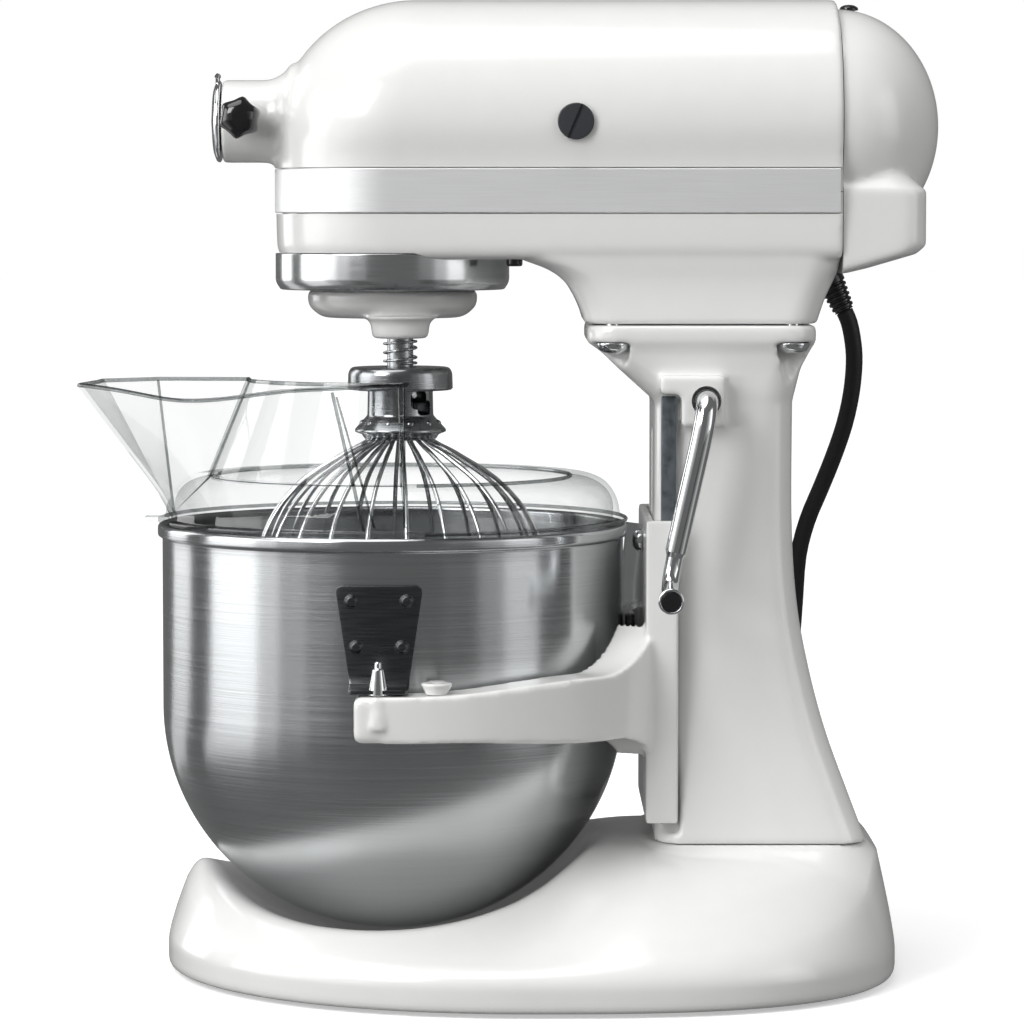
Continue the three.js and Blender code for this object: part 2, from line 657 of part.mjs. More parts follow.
const shaftProfile = [[0, 284.4], [7, 284.4], [7, 350], [12, 350], [8.6, 355], [0, 355]];
place(planetary, 'center_shaft', turned(shaftProfile, 18), steel);
const centreGear = gearWheel(CENTRE_TEETH, CENTRE_PITCH, 7.4, 322, 331, WHEEL_ANGLE);
place(planetary, 'center_gear', centreGear, steel);

const beaterShaft = build(
  [rod([0, 0, 246], [0, 0, 308.6], 5.6, 5.6, 16), rod([-10.5, 0, 248.6], [10.5, 0, 248.6], 1.6, 1.6, 10)]);
place(beater, 'beater_shaft', beaterShaft, steel);
const pinionPhase = BEATER_ANGLE + Math.PI / BEATER_TEETH;
const pinion = gearWheel(BEATER_TEETH, GEAR_MODULE * BEATER_TEETH / 2, 6, 298.8, 308, pinionPhase);
place(beater, 'beater_pinion', pinion, steel);

const SPRING_TURNS = 3;
const springPoints = Array.from({ length: SPRING_TURNS * 10 + 1 }, (_, i) => {
  const angle = 2 * Math.PI * i / 10;
  const z = 262 + 9.4 * i / (SPRING_TURNS * 10);
  return [6.9 * Math.cos(angle), 6.9 * Math.sin(angle), z];
});
place(beater, 'beater_spring', tube(springPoints, 0.55, 4, 27), steel);

// ---------------------------------------------------------------- wire whisk

const hubProfile = [[0, 228.7], [16, 228.7], [17.4, 231], [19.6, 233.2], [14, 239.6], [14, 250.6],
  [22.4, 250.8], [22.6, 258.4], [21, 260.4], [0, 260.6]];
const whiskCuts = [
  rod([0, 0, 237], [0, 0, 265], 6.1, 6.1, 16),
  block(-16, 16, -3.4, 3.4, 239.2, 251.6),
];
place(beater, 'whisk_hub', build([turned(hubProfile, 20)], whiskCuts), brushed);

const WHISK_LOOPS = 6;
function whiskLoop(angle, bottom) {
  const side = [[13.2, 227.2], [26, 222.5], [44, 210], [57, 194], [64.5, 168], [65.5, 140], [60, 108],
    [45, 82], [24, 66]];
  const half = side.map(([r, z]) => [r, z < 140 ? bottom + (z - 60) * (140 - bottom) / 80 : z]);
  const points = [...half, [0, bottom], ...half.slice().reverse().map(([r, z]) => [-r, z])];
  return tube(points.map(([r, z]) => [r, 0, z]), 1.1, 4, 22).rotateZ(angle);
}
const loops = Array.from({ length: WHISK_LOOPS }, (_, i) => {
  return whiskLoop(Math.PI * (i + 0.5) / WHISK_LOOPS, 61 + 0.4 * i);
});
place(beater, 'whisk_wires', build(loops), steel);

// ---------------------------------------------------------------- attachment hub

const hubDriveProfile = [[0, -66], [8.6, -66], [12, -71], [8, -71], [8, -112], [0, -112]];
const hubDrive = build([turnedAlongY(hubDriveProfile, 18)],
  [block(-4.8, 4.8, -114, -96, MOTOR_Z - 4.8, MOTOR_Z + 4.8)]);
place(mixer, 'hub_drive', hubDrive, steel);

const COVER_HINGE_Y = -127.8;
const COVER_HINGE_Z = 385.6;
const coverDisc = turnedAlongY([[0, -126], [17.2, -126], [17.8, -127], [16.6, -129], [10, -130.2],
  [0, -130.6]], 28);
const knuckle = rod([-5, COVER_HINGE_Y, COVER_HINGE_Z], [5, COVER_HINGE_Y, COVER_HINGE_Z], 1.7, 1.7, 12);
const knuckleArm = block(-4, 4, -128.8, -126.9, 380, COVER_HINGE_Z);
place(mixer, 'hub_cover', build([coverDisc, knuckle, knuckleArm]), chrome);

function lobedShape(radius, depth, lobes) {
  const points = Array.from({ length: lobes * 6 }, (_, i) => {
    const angle = 2 * Math.PI * i / (lobes * 6);
    const r = radius - depth * (0.5 - 0.5 * Math.cos(lobes * angle));
    return new THREE.Vector2(r * Math.cos(angle), r * Math.sin(angle));
  });
  return new THREE.Shape(points);
}
const knobHead = extruded(lobedShape(8.8, 1.6, 6), 0, 13).rotateY(Math.PI / 2).translate(24, 0, 0);
const knobParts = [knobHead, rod([17.9 + GAP, 0, 0], [25, 0, 0], 5, 6, 16),
  rod([13.6, 0, 0], [20, 0, 0], 2.8, 2.8, 12), rod([36, 0, 0], [38.6, 0, 0], 6.6, 4, 16)];
place(mixer, 'hub_knob', build(knobParts), blackPlastic).position.set(0, KNOB_Y, KNOB_Z);

// ---------------------------------------------------------------- controls

const speedParts = [
  block(-66, -43.5, SPEED_Y - 1.6, SPEED_Y + 1.6, 319.4, 322.6),
  block(-45, -42.6, SPEED_Y - 7, SPEED_Y + 7, 315, 327),
  rod([-56, SPEED_Y, 321], [-67, SPEED_Y, 321], 5.4, 6.4, 16),
];
place(mixer, 'speed_lever', build(speedParts), blackPlastic);

const buttonProfile = [[0, 303.6], [3, 303.6], [3.5, 304.2], [3.5, 313.9], [5.2, 313.9], [5.2, 316], [0, 316]];
place(mixer, 'reset_button', turned(buttonProfile, 14), blackPlastic)
  .position.set(BUTTON_X, BUTTON_Y, 0);

// ---------------------------------------------------------------- bowl lift

const CRANK = 11.5;
const crankShaft = build([
  rod([14, LEVER_Y, LEVER_Z], [61, LEVER_Y, LEVER_Z], 5, 5, 18),
  block(14, 18, LEVER_Y - 4.5, LEVER_Y + 4.5, LEVER_Z - CRANK - 3.5, LEVER_Z),
  rod([11.4, LEVER_Y, LEVER_Z - CRANK], [15, LEVER_Y, LEVER_Z - CRANK], 3, 3, 12),
]);
place(mixer, 'lift_shaft', crankShaft, steel);

const leverPoints = [[62.6, LEVER_Y, LEVER_Z], [67, LEVER_Y - 0.2, LEVER_Z - 1],
  [71, 80.5, 239], [71.5, 77, 226], [71.5, 71, 201], [71.5, 66.6, 181], [74, 65.2, 172], [82, 65, 168],
  [94, 65, 167]];
const leverTube = tube(leverPoints, 5, 8, 20);
const leverCap = rod([92, 65, 167], [99, 65, 167], 6.2, 5.4, 16);
place(mixer, 'lift_lever', build([leverTube, leverCap]), chrome);

const LIFT_LINK_X = 5;
const link = build([block(LIFT_LINK_X, LIFT_LINK_X + 4.5, 74, 82, 112, 222),
  block(-5, LIFT_LINK_X + 2, 61.2, 76, 112, 134)]);
place(mixer, 'lift_link', link, zinc);

function armPlan(inner, outer, tipY) {
  const shape = new THREE.Shape();
  shape.moveTo(outer, tipY);
  shape.lineTo(outer, BOWL_Y);
  shape.absarc(0, BOWL_Y, outer, 0, Math.PI, false);
  shape.lineTo(-outer, tipY);
  shape.lineTo(-inner, tipY);
  shape.lineTo(-inner, BOWL_Y);
  shape.absarc(0, BOWL_Y, inner, Math.PI, 0, true);
  shape.lineTo(inner, tipY);
  return shape;
}

function ringSector(inner, outer, margin) {
  const shape = new THREE.Shape();
  shape.absarc(0, BOWL_Y, outer, margin, Math.PI - margin, false);
  shape.absarc(0, BOWL_Y, inner, Math.PI - margin, margin, true);
  return shape;
}

// Concave sweep that carries one arm up and down into the carriage plate.
function armGusset(side) {
  const plateY = COLUMN_FRONT - GAP - 3.4;
  const rings = [0, 1, 2, 3, 4, 5, 6, 7].map((i) => {
    const angle = THREE.MathUtils.degToRad(44 + 22 * i / 7);
    const y = BOWL_Y + 115 * Math.sin(angle);
    const upper = clamp01((y - 31) / (plateY - 31));
    const lower = clamp01((y - 30) / (plateY - 30));
    const top = ARM_TOP - 1 + 32 * (1 - Math.sqrt(1 - upper * upper));
    const bottom = ARM_BOTTOM + 4 - 34 * lower * lower;
    return [[107, bottom], [124, bottom], [124, top], [107, top]].map(([r, z]) => {
      return [side * r * Math.cos(angle), BOWL_Y + r * Math.sin(angle), z];
    });
  });
  return loft(rings);
}

const YOKE_FRONT = COLUMN_FRONT - GAP;
const CHEEK_X = RAIL_X + RAIL_THICK + 0.6;
const yokeParts = [
  extruded(armPlan(106, 125, -65), ARM_BOTTOM, ARM_TOP, 16),
  armGusset(1),
  armGusset(-1),
  extruded(ringSector(107, 124, 0.55), 110, 135, 16),
  block(-CHEEK_X - 4, CHEEK_X + 4, YOKE_FRONT - 3.4, YOKE_FRONT, 66.6, 196),
  block(-CHEEK_X - 4, -CHEEK_X, YOKE_FRONT - 3, 70.8, 66.6, 196),
  block(CHEEK_X, CHEEK_X + 4, YOKE_FRONT - 3, 70.8, 66.6, 196),
];
const yokeCuts = [block(-CHEEK_X, CHEEK_X, YOKE_FRONT, 90, 60, 200)];
place(mixer, 'yoke', build(yokeParts, yokeCuts), enamel);

for (const [side, label] of [[-1, 'left'], [1, 'right']]) {
  const pin = turned([[0, ARM_TOP + GAP], [3.7, ARM_TOP + GAP], [1.9, 141.5], [1, 142.9], [0, 143]], 16);
  place(mixer, `bowl_pin_${label}`, pin, chrome).position.set(side * PIN_X, PIN_Y, 0);
  const nose = block(Math.min(0, -side * 11), Math.max(0, -side * 11), -3.4, 3.4, 131.4, 133.6);
  const lock = build([rod([0, 0, ARM_TOP + GAP], [0, 0, 133.6], 6.4, 6, 18), nose]);
  place(mixer, `bowl_lock_${label}`, lock, enamel).position.set(side * LOCK_X, LOCK_Y, 0);
}

const latchStrip = tube([[0, 55.2, 186], [0, 54.6, 179], [0, 52.8, 170], [0, 51.6, 161], [0, 53.4, 155.5]],
  1.6, 6, 10);
place(mixer, 'latch_spring', latchStrip.scale(3, 1, 1), chrome);
place(mixer, 'latch_catch', block(-7, 7, 49.4, 52.6, 137, 150), blackPlastic);

// ---------------------------------------------------------------- bowl

function bowlProfile() {
  const depth = BOWL_SHOULDER - BOWL_BOTTOM;
  const arc = (radius, drop, from, to) => Array.from({ length: 8 }, (_, i) => {
    const angle = THREE.MathUtils.degToRad(from + (to - from) * i / 7);
    return [radius * Math.sin(angle), BOWL_SHOULDER - drop * Math.cos(angle)];
  });
  const outer = arc(BOWL_R, depth, 0, 90);
  const inner = arc(BOWL_R - BOWL_WALL, depth - BOWL_WALL, 90, 0);
  const bead = [[BOWL_R, BOWL_RIM], [BOWL_R + 2, BOWL_RIM + 1], [BOWL_R + 2, RIM_TOP - 1.4],
    [BOWL_R + 0.6, RIM_TOP], [BOWL_R - BOWL_WALL, RIM_TOP - 1]];
  return [...outer, ...bead, ...inner];
}

const bowlBody = new THREE.Group();
bowlBody.position.y = BOWL_Y;
mixer.add(bowlBody);
place(bowlBody, 'bowl', turned(bowlProfile(), 32), brushed);

// The brackets are centred on the bowl pins, which stand a little in front of the bowl's axis.
const BRACKET_Y = PIN_Y - BOWL_Y;
for (const [side, label] of [[-1, 'left'], [1, 'right']]) {
  const face = side * 101;
  const plan = new THREE.Shape();
  plan.moveTo(-12.4, ARM_TOP + 1);
  plan.lineTo(12.4, ARM_TOP + 1);
  plan.lineTo(18.5, 172.6);
  plan.lineTo(-18.5, 172.6);
  const sheet = extruded(plan, 0, 2).rotateX(Math.PI / 2).rotateZ(Math.PI / 2);
  sheet.translate(side > 0 ? face : face - 2, BRACKET_Y, 0);
  const [a, b] = [face + side, side * 123.5];
  const ledge = block(Math.min(a, b), Math.max(a, b), BRACKET_Y - 12.4, BRACKET_Y + 12.4,
    ARM_TOP + 0.6, ARM_TOP + 2.2);
  const rivets = [[-11.5, 166], [11.5, 166], [-9.5, 147], [9.5, 147]].map(([across, z]) => {
    const y = BRACKET_Y + across;
    return rod([face + side, y, z], [face + side * 3.4, y, z], 2.6, 1.4, 6);
  });
  const hole = rod([side * PIN_X, BRACKET_Y, 120], [side * PIN_X, BRACKET_Y, 140], 4.4, 4.4, 16);
  place(bowlBody, `bowl_bracket_${label}`, build([sheet, ledge, ...rivets], [hole]), darkSteel);
}

// ---------------------------------------------------------------- pouring shield

const OPENING_R = 77;
const CHUTE_TOP = 254;
// Compass angle about the bowl axis and the radius of the chute's top edge there.
const CHUTE_STATIONS = [[5, 100], [-20, 108], [-45, 122], [-69.4, 142], [-84, 127], [-94, 104]];

function chuteLoft(inset, extra) {
  const last = CHUTE_STATIONS.length - 1;
  return loft(CHUTE_STATIONS.map(([degrees, reach], i) => {
    const trim = (i === 0 ? -1 : 0) + (i === last ? 1 : 0);
    const angle = THREE.MathUtils.degToRad(degrees + 1.3 * inset * trim);
    return [
      [OPENING_R + 2 + inset, 212 - extra],
      [97 - inset, 195 - extra],
      [reach - inset, CHUTE_TOP + extra],
      [62 + inset, CHUTE_TOP + extra],
    ].map(([r, z]) => [r * Math.cos(angle), r * Math.sin(angle), z]);
  }));
}

const shieldProfile = [[96, 187.4], [98, 187.4], [98.2, 192.4], [102.4, 192.4], [102.4, 194.2],
  [99.4, 194.2], [98, 203], [93, 210], [86, 213], [OPENING_R, 213], [OPENING_R, 211.2], [85.4, 211.2], [92, 208],
  [96.2, 202], [96, 187.4]];
const chuteZone = chuteLoft(-0.5, 0.55);
const shieldRing = build([turned(shieldProfile, 32)], [chuteZone]);
place(bowlBody, 'pouring_shield', shieldRing, clear);
place(bowlBody, 'pour_chute', build([chuteLoft(0, 0)], [chuteLoft(1.8, 6)]), clear);

// ---------------------------------------------------------------- mains cord and plug

place(mixer, 'strain_relief', rod(alongRelief(-14), alongRelief(10), 6.2, 4.6, 16), blackPlastic);

const COIL_X = -203;
const COIL_Y = 66;
const COIL_INNER = 33;
const COIL_OUTER = 49;
const COIL_HEIGHT = 15.5;
// From the strain relief, down behind the column and over the far side of the base to the coil.
const CORD_ROUTE = [
  alongRelief(10.4), [-0.2, 147, 278.4], [-0.7, 148.7, 270], [-1.6, 149.3, 261], [-3.5, 148.3, 248],
  [-7, 145.6, 234], [-12, 141.2, 219.5], [-18, 136, 205], [-24.5, 130.7, 190.5], [-32, 127.3, 174],
  [-42.5, 126.5, 152], [-51, 125.5, 128], [-58, 124.8, 104], [-66, 124, 82], [-76, 123, 64.5],
  [-88, 121, 50.5], [-101, 118.5, 40], [-112, 116.2, 31.5], [-122, 114.2, 23.5], [-132, 112.8, 14.5],
  [-142, 111.8, 7], [-153, 111, 3], [-164, 110.5, 1.85], [-174.6, 110.5, 1.75],
];
const cordTube = tube(CORD_ROUTE, CORD_R, 8, 26);
place(mixer, 'power_cord', cordTube, rubber);
const coilProfile = [[COIL_INNER, FLOOR_Z], [COIL_OUTER, FLOOR_Z], [COIL_OUTER, FLOOR_Z + COIL_HEIGHT],
  [COIL_INNER, FLOOR_Z + COIL_HEIGHT], [COIL_INNER, FLOOR_Z]];
place(mixer, 'cord_coil', turned(coilProfile, 20), rubber).position.set(COIL_X, COIL_Y, 0);

const PLUG_X = -241;
const PLUG_Y = 28;
const PLUG_Z = FLOOR_Z + 18;
const plugParts = [
  rod([0, 0, -5], [0, -22, 0], 5, 8, 16),
  rod([0, -21, 0], [0, -30, 0], 8, 17, 20),
  rod([0, -29.5, 0], [0, -50, 0], 17.5, 17.5, 24),
  rod([-9.5, -49, 0], [-9.5, -68, 0], 2.4, 2.4, 10),
  rod([9.5, -49, 0], [9.5, -68, 0], 2.4, 2.4, 10),
];
place(mixer, 'plug', build(plugParts), blackPlastic).position.set(PLUG_X, PLUG_Y, PLUG_Z);

export default mixer;
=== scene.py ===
"""Looks of a bowl-lift stand mixer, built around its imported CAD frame.

Lengths are millimetres and heights start at the lower edge of the base casting;
to_frame() turns both into the frame's metres. The attachment hub faces -Y, the
bowl-lift lever is on +X, and the bowl's axis stands at (0, BOWL_Y).
"""

import math

import bmesh
import bpy
from mathutils import Matrix, Vector


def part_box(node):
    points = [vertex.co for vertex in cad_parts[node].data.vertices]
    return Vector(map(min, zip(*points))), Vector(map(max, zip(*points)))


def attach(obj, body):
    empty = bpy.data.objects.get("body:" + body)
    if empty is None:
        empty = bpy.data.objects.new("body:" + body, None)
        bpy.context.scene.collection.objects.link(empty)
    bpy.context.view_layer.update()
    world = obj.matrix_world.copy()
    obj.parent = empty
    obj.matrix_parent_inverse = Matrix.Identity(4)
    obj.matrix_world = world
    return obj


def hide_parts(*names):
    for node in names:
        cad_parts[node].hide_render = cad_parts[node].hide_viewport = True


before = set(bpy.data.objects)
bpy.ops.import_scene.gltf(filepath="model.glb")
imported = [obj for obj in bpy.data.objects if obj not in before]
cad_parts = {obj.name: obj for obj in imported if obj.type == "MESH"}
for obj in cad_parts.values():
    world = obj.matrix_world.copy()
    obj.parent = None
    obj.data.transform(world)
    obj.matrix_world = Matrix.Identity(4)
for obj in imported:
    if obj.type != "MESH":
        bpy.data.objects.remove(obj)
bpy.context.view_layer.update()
scene = bpy.context.scene

MM = 0.001
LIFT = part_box("base")[0].z / MM


def to_frame(point):
    x, y, z = point
    return Vector((x * MM, y * MM, (z + LIFT) * MM))


def middle(node):
    """Centre of a CAD node in millimetres, with its height from the casting's edge."""
    low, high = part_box(node)
    centre = (low + high) / 2 / MM
    return centre.x, centre.y, centre.z - LIFT


BOWL_Y = middle("bowl")[1]


def compass(degrees, radius, z, centre_y=BOWL_Y):
    """Point at an angle from +X towards +Y round the bowl's axis, or round another one."""
    angle = math.radians(degrees)
    return radius * math.cos(angle), centre_y + radius * math.sin(angle), z


BEATER = Vector(middle("whisk_hub")[:2])
MOTOR_Z = 366
FLOOR_Z = -LIFT


# ---------------------------------------------------------------- camera

def make_camera():
    data = bpy.data.cameras.new("camera")
    data.sensor_width = 36
    data.lens = 150.96
    data.clip_end = 60
    camera = bpy.data.objects.new("camera", data)
    scene.collection.objects.link(camera)
    camera.location = (1.872, 0, 0.3275)
    camera.rotation_euler = (math.radians(90 - 3.957), 0, math.radians(90))
    scene.camera = camera


make_camera()


# ---------------------------------------------------------------- materials

def surface(name, colour, roughness, metallic=0.0, grain=(300, 300, 300), shade=0.03,
            gloss=0.03, relief=0.02, detail=4.0, **fixed):
    """Principled finish whose colour, roughness and bump follow one stretched noise."""
    material = bpy.data.materials.new(name)
    material.use_nodes = True
    nodes, links = material.node_tree.nodes, material.node_tree.links
    shader = nodes["Principled BSDF"]
    shader.inputs["Metallic"].default_value = metallic
    for socket, value in fixed.items():
        shader.inputs[socket.replace("_", " ")].default_value = value
    place = nodes.new("ShaderNodeTexCoord")
    mapping = nodes.new("ShaderNodeMapping")
    mapping.inputs["Scale"].default_value = grain
    noise = nodes.new("ShaderNodeTexNoise")
    noise.inputs["Scale"].default_value = 1.0
    noise.inputs["Detail"].default_value = detail
    links.new(place.outputs["Object"], mapping.inputs["Vector"])
    links.new(mapping.outputs["Vector"], noise.inputs["Vector"])
    tint = nodes.new("ShaderNodeValToRGB")
    for element, factor in zip(tint.color_ramp.elements, (1 - shade, 1 + shade)):
        element.color = tuple(min(1.0, c * factor) for c in colour) + (1.0,)
    tint.color_ramp.elements[0].position = 0.3
    tint.color_ramp.elements[1].position = 0.7
    links.new(noise.outputs["Fac"], tint.inputs["Fac"])
    links.new(tint.outputs["Color"], shader.inputs["Base Color"])
    spread = nodes.new("ShaderNodeMapRange")
    spread.inputs["From Min"].default_value = 0.3
    spread.inputs["From Max"].default_value = 0.7
    spread.inputs["To Min"].default_value = max(0.01, roughness - gloss)
    spread.inputs["To Max"].default_value = roughness + gloss
    links.new(noise.outputs["Fac"], spread.inputs["Value"])
    links.new(spread.outputs["Result"], shader.inputs["Roughness"])
    bump = nodes.new("ShaderNodeBump")
    bump.inputs["Strength"].default_value = relief
    bump.inputs["Distance"].default_value = 0.0004
    links.new(noise.outputs["Fac"], bump.inputs["Height"])
    links.new(bump.outputs["Normal"], shader.inputs["Normal"])
    return material


def brush_round(material, amount):
    """Blurs reflections across lines that run round the vertical axis."""
    nodes, links = material.node_tree.nodes, material.node_tree.links
    shader = nodes["Principled BSDF"]
    shader.inputs["Anisotropic"].default_value = amount
    shader.inputs["Anisotropic Rotation"].default_value = 0.25
    tangent = nodes.new("ShaderNodeTangent")
    tangent.direction_type = "RADIAL"
    tangent.axis = "Z"
    links.new(tangent.outputs["Tangent"], shader.inputs["Tangent"])
    return material


def bare_material(name):
    """New material with no surface yet, its nodes and its links."""
    material = bpy.data.materials.new(name)
    material.use_nodes = True
    nodes = material.node_tree.nodes
    nodes.remove(nodes["Principled BSDF"])
    return material, nodes, material.node_tree.links


def clear_plastic(name, facing, grazing_shade, gloss_level):
    """Clear moulding whose outer skin is tinted darker towards its edges under a sharp gloss; the darker edge
    tint is painted shade standing in for refraction.
    """
    material, nodes, links = bare_material(name)
    weight = nodes.new("ShaderNodeLayerWeight")
    weight.inputs["Blend"].default_value = 0.35
    # Painted shade: the outer skin's see-through colour goes from the facing tint to a darker one at grazing
    # angles, in place of refraction.
    tint = nodes.new("ShaderNodeValToRGB")
    tint.color_ramp.elements[0].color = (*facing, 1)
    tint.color_ramp.elements[0].position = 0.3
    tint.color_ramp.elements[1].color = (*grazing_shade, 1)
    side = nodes.new("ShaderNodeNewGeometry")
    inner = nodes.new("ShaderNodeMixRGB")
    inner.inputs[2].default_value = (1, 1, 1, 1)
    outer_only = nodes.new("ShaderNodeMath")
    outer_only.operation = "SUBTRACT"
    outer_only.inputs[0].default_value = 1
    amount = nodes.new("ShaderNodeMath")
    amount.operation = "MULTIPLY"
    strength = nodes.new("ShaderNodeMapRange")
    strength.inputs["To Min"].default_value = 0.02
    strength.inputs["To Max"].default_value = gloss_level
    through = nodes.new("ShaderNodeBsdfTransparent")
    gloss = nodes.new("ShaderNodeBsdfGlossy")
    gloss.inputs["Roughness"].default_value = 0.06
    mix = nodes.new("ShaderNodeMixShader")
    links.new(weight.outputs["Facing"], tint.inputs["Fac"])
    links.new(side.outputs["Backfacing"], inner.inputs[0])
    links.new(tint.outputs["Color"], inner.inputs[1])
    links.new(inner.outputs["Color"], through.inputs["Color"])
    links.new(side.outputs["Backfacing"], outer_only.inputs[1])
    links.new(weight.outputs["Facing"], strength.inputs["Value"])
    links.new(outer_only.outputs["Value"], amount.inputs[0])
    links.new(strength.outputs["Result"], amount.inputs[1])
    links.new(amount.outputs["Value"], mix.inputs["Fac"])
    links.new(through.outputs["BSDF"], mix.inputs[1])
    links.new(gloss.outputs["BSDF"], mix.inputs[2])
    links.new(mix.outputs["Shader"], nodes["Material Output"].inputs["Surface"])
    return material


ENAMEL = surface("enamel", (0.80, 0.80, 0.785), 0.2, grain=(90, 90, 90), shade=0.008, gloss=0.03,
                 relief=0.02, Coat_Weight=0.4, Coat_Roughness=0.05)
RUBBER = surface("rubber", (0.009, 0.009, 0.0095), 0.5, grain=(900, 900, 900), shade=0.2,
                 gloss=0.1, relief=0.25)
CHROME = surface("chrome", (0.74, 0.75, 0.76), 0.11, 1.0, grain=(160, 160, 160), shade=0.02,
                 gloss=0.015, relief=0.008)
BAND = surface("brushed_band", (0.86, 0.865, 0.87), 0.4, 0.45, grain=(600, 40, 4000), shade=0.03,
               gloss=0.05, relief=0.04)
RING_STEEL = brush_round(surface("ring_steel", (0.66, 0.67, 0.68), 0.2, 1.0,
                                 grain=(40, 40, 3500), shade=0.05, gloss=0.05, relief=0.05), 0.5)
BOWL_STEEL = brush_round(surface("bowl_steel", (0.55, 0.565, 0.575), 0.22, 1.0,
                                 grain=(10, 10, 2600), shade=0.06, gloss=0.05, relief=0.05,
                                 detail=6.0), 0.8)
ZINC = surface("zinc", (0.16, 0.18, 0.195), 0.5, 1.0, grain=(240, 240, 240), shade=0.25,
               gloss=0.15, relief=0.2)
DARK_STEEL = surface("dark_steel", (0.11, 0.115, 0.12), 0.3, 1.0, grain=(60, 60, 1500),
                     shade=0.15, gloss=0.06, relief=0.06)
HUB_STEEL = brush_round(surface("hub_steel", (0.34, 0.35, 0.36), 0.22, 1.0,
                                grain=(80, 80, 3000), shade=0.10, gloss=0.06, relief=0.08), 0.4)
WIRE = surface("wire", (0.66, 0.67, 0.68), 0.2, 1.0, grain=(500, 500, 500), shade=0.08,
               gloss=0.05, relief=0.04)
DRIVE_STEEL = surface("drive_steel", (0.42, 0.43, 0.44), 0.28, 1.0, grain=(600, 600, 2500),
                      shade=0.12, gloss=0.08, relief=0.08)
BRASS = surface("brass", (0.52, 0.34, 0.10), 0.3, 1.0, grain=(700, 700, 700), shade=0.12,
                gloss=0.08, relief=0.08)
COPPER = surface("copper", (0.48, 0.18, 0.07), 0.38, 1.0, grain=(300, 4000, 300), shade=0.25,
                 gloss=0.1, relief=0.4)
BOARD = surface("board", (0.02, 0.13, 0.05), 0.45, grain=(1200, 1200, 1200), shade=0.2,
                gloss=0.1, relief=0.2)
BLACK = surface("black_plastic", (0.008, 0.008, 0.009), 0.12, grain=(300, 300, 300), shade=0.1,
                gloss=0.04, relief=0.02, Coat_Weight=0.5, Coat_Roughness=0.04)
CAP_GREY = surface("cap_grey", (0.035, 0.037, 0.042), 0.42, grain=(1500, 1500, 1500),
                   shade=0.15, gloss=0.06, relief=0.1)
CLEAR = clear_plastic("clear_plastic", (0.975, 0.98, 0.98), (0.60, 0.62, 0.62), 0.3)
# Darker clear finish for rims and moulded edges: painted shade that draws the dark lines refraction gives a
# clear moulding's edges.
CLEAR_EDGE_SHADE = clear_plastic("clear_edge_painted_shade", (0.34, 0.36, 0.36), (0.12, 0.13, 0.13), 0.35)


# ---------------------------------------------------------------- mesh helpers

def new_object(name, points, faces):
    """Mesh object from millimetre points, with doubled points merged and normals facing out."""
    mesh = bpy.data.meshes.new(name)
    mesh.from_pydata([to_frame(point) for point in points], [], faces)
    obj = bpy.data.objects.new(name, mesh)
    scene.collection.objects.link(obj)
    work = bmesh.new()
    work.from_mesh(mesh)
    bmesh.ops.remove_doubles(work, verts=work.verts, dist=1e-6)
    bmesh.ops.dissolve_degenerate(work, edges=work.edges, dist=1e-7)
    bmesh.ops.recalc_face_normals(work, faces=work.faces)
    work.to_mesh(mesh)
    work.free()
    return obj


def loft(name, rings, closed_path=False):
    """Skin over rings of points, capped flat at both ends unless the rings close on themselves."""
    count, rows = len(rings[0]), len(rings)
    points = [point for ring in rings for point in ring]
    faces = []
    for k in range(rows if closed_path else rows - 1):
        start, after = k * count, (k + 1) % rows * count
        for i in range(count):
            j = (i + 1) % count
            faces.append((start + i, start + j, after + j, after + i))
    if not closed_path:
        faces.append(tuple(range(count - 1, -1, -1)))
        faces.append(tuple(range((rows - 1) * count, rows * count)))
    return new_object(name, points, faces)


def rounded(points, radius, closed=False, steps=6):
    """Outline with its corners turned into curves; a point's third number is its own radius."""
    result = []
    for i, point in enumerate(points):
        here = Vector(point[:2])
        if not closed and i in (0, len(points) - 1):
            result.append(tuple(here))
            continue
        before = Vector(points[i - 1][:2]) - here
        after = Vector(points[(i + 1) % len(points)][:2]) - here
        wanted = point[2] if len(point) > 2 else radius
        reach = min(wanted, 0.48 * before.length, 0.48 * after.length)
        start = here + before.normalized() * reach
        end = here + after.normalized() * reach
        for k in range(steps + 1):
            t = k / steps
            result.append(tuple(start * (1 - t) ** 2 + here * 2 * t * (1 - t) + end * t * t))
    return result


def revolve(name, profile, origin=(0, 0, 0), axis=(0, 0, 1), segments=96, closed=False):
    """Turned shape from [radius, distance along the axis] pairs."""
    turn = Vector((0, 0, 1)).rotation_difference(Vector(axis))
    rings = []
    for radius, height in profile:
        ring = []
        for i in range(segments):
            angle = 2 * math.pi * i / segments
            local = Vector((radius * math.cos(angle), radius * math.sin(angle), height))
            ring.append(tuple(Vector(origin) + turn @ local))
        rings.append(ring)
    return loft(name, rings, closed_path=closed)


def block(name, x, y, z):
    """Box between pairs of limits."""
    corners = [(x[0], y[0]), (x[1], y[0]), (x[1], y[1]), (x[0], y[1])]
    return loft(name, [[(px, py, height) for px, py in corners] for height in z])


def rod(name, start, end, radius, end_radius=None, segments=48):
    """Round bar or cone between two points."""
    along = Vector(end) - Vector(start)
    tip = radius if end_radius is None else end_radius
    profile = [(0, 0), (radius, 0), (tip, along.length), (0, along.length)]
    return revolve(name, profile, start, along.normalized(), segments)


def catmull(points, per_span):
    """Points of a smooth curve through the given ones."""
    points = [Vector(p) for p in points]
    line = []
    for i in range(len(points) - 1):
        p0, p1 = points[max(0, i - 1)], points[i]
        p2, p3 = points[i + 1], points[min(len(points) - 1, i + 2)]
        for k in range(per_span):
            t = k / per_span
            line.append(0.5 * (2 * p1 + (p2 - p0) * t + (2 * p0 - 5 * p1 + 4 * p2 - p3) * t * t
                               + (3 * p1 - p0 - 3 * p2 + p3) * t ** 3))
    line.append(points[-1])
    return line


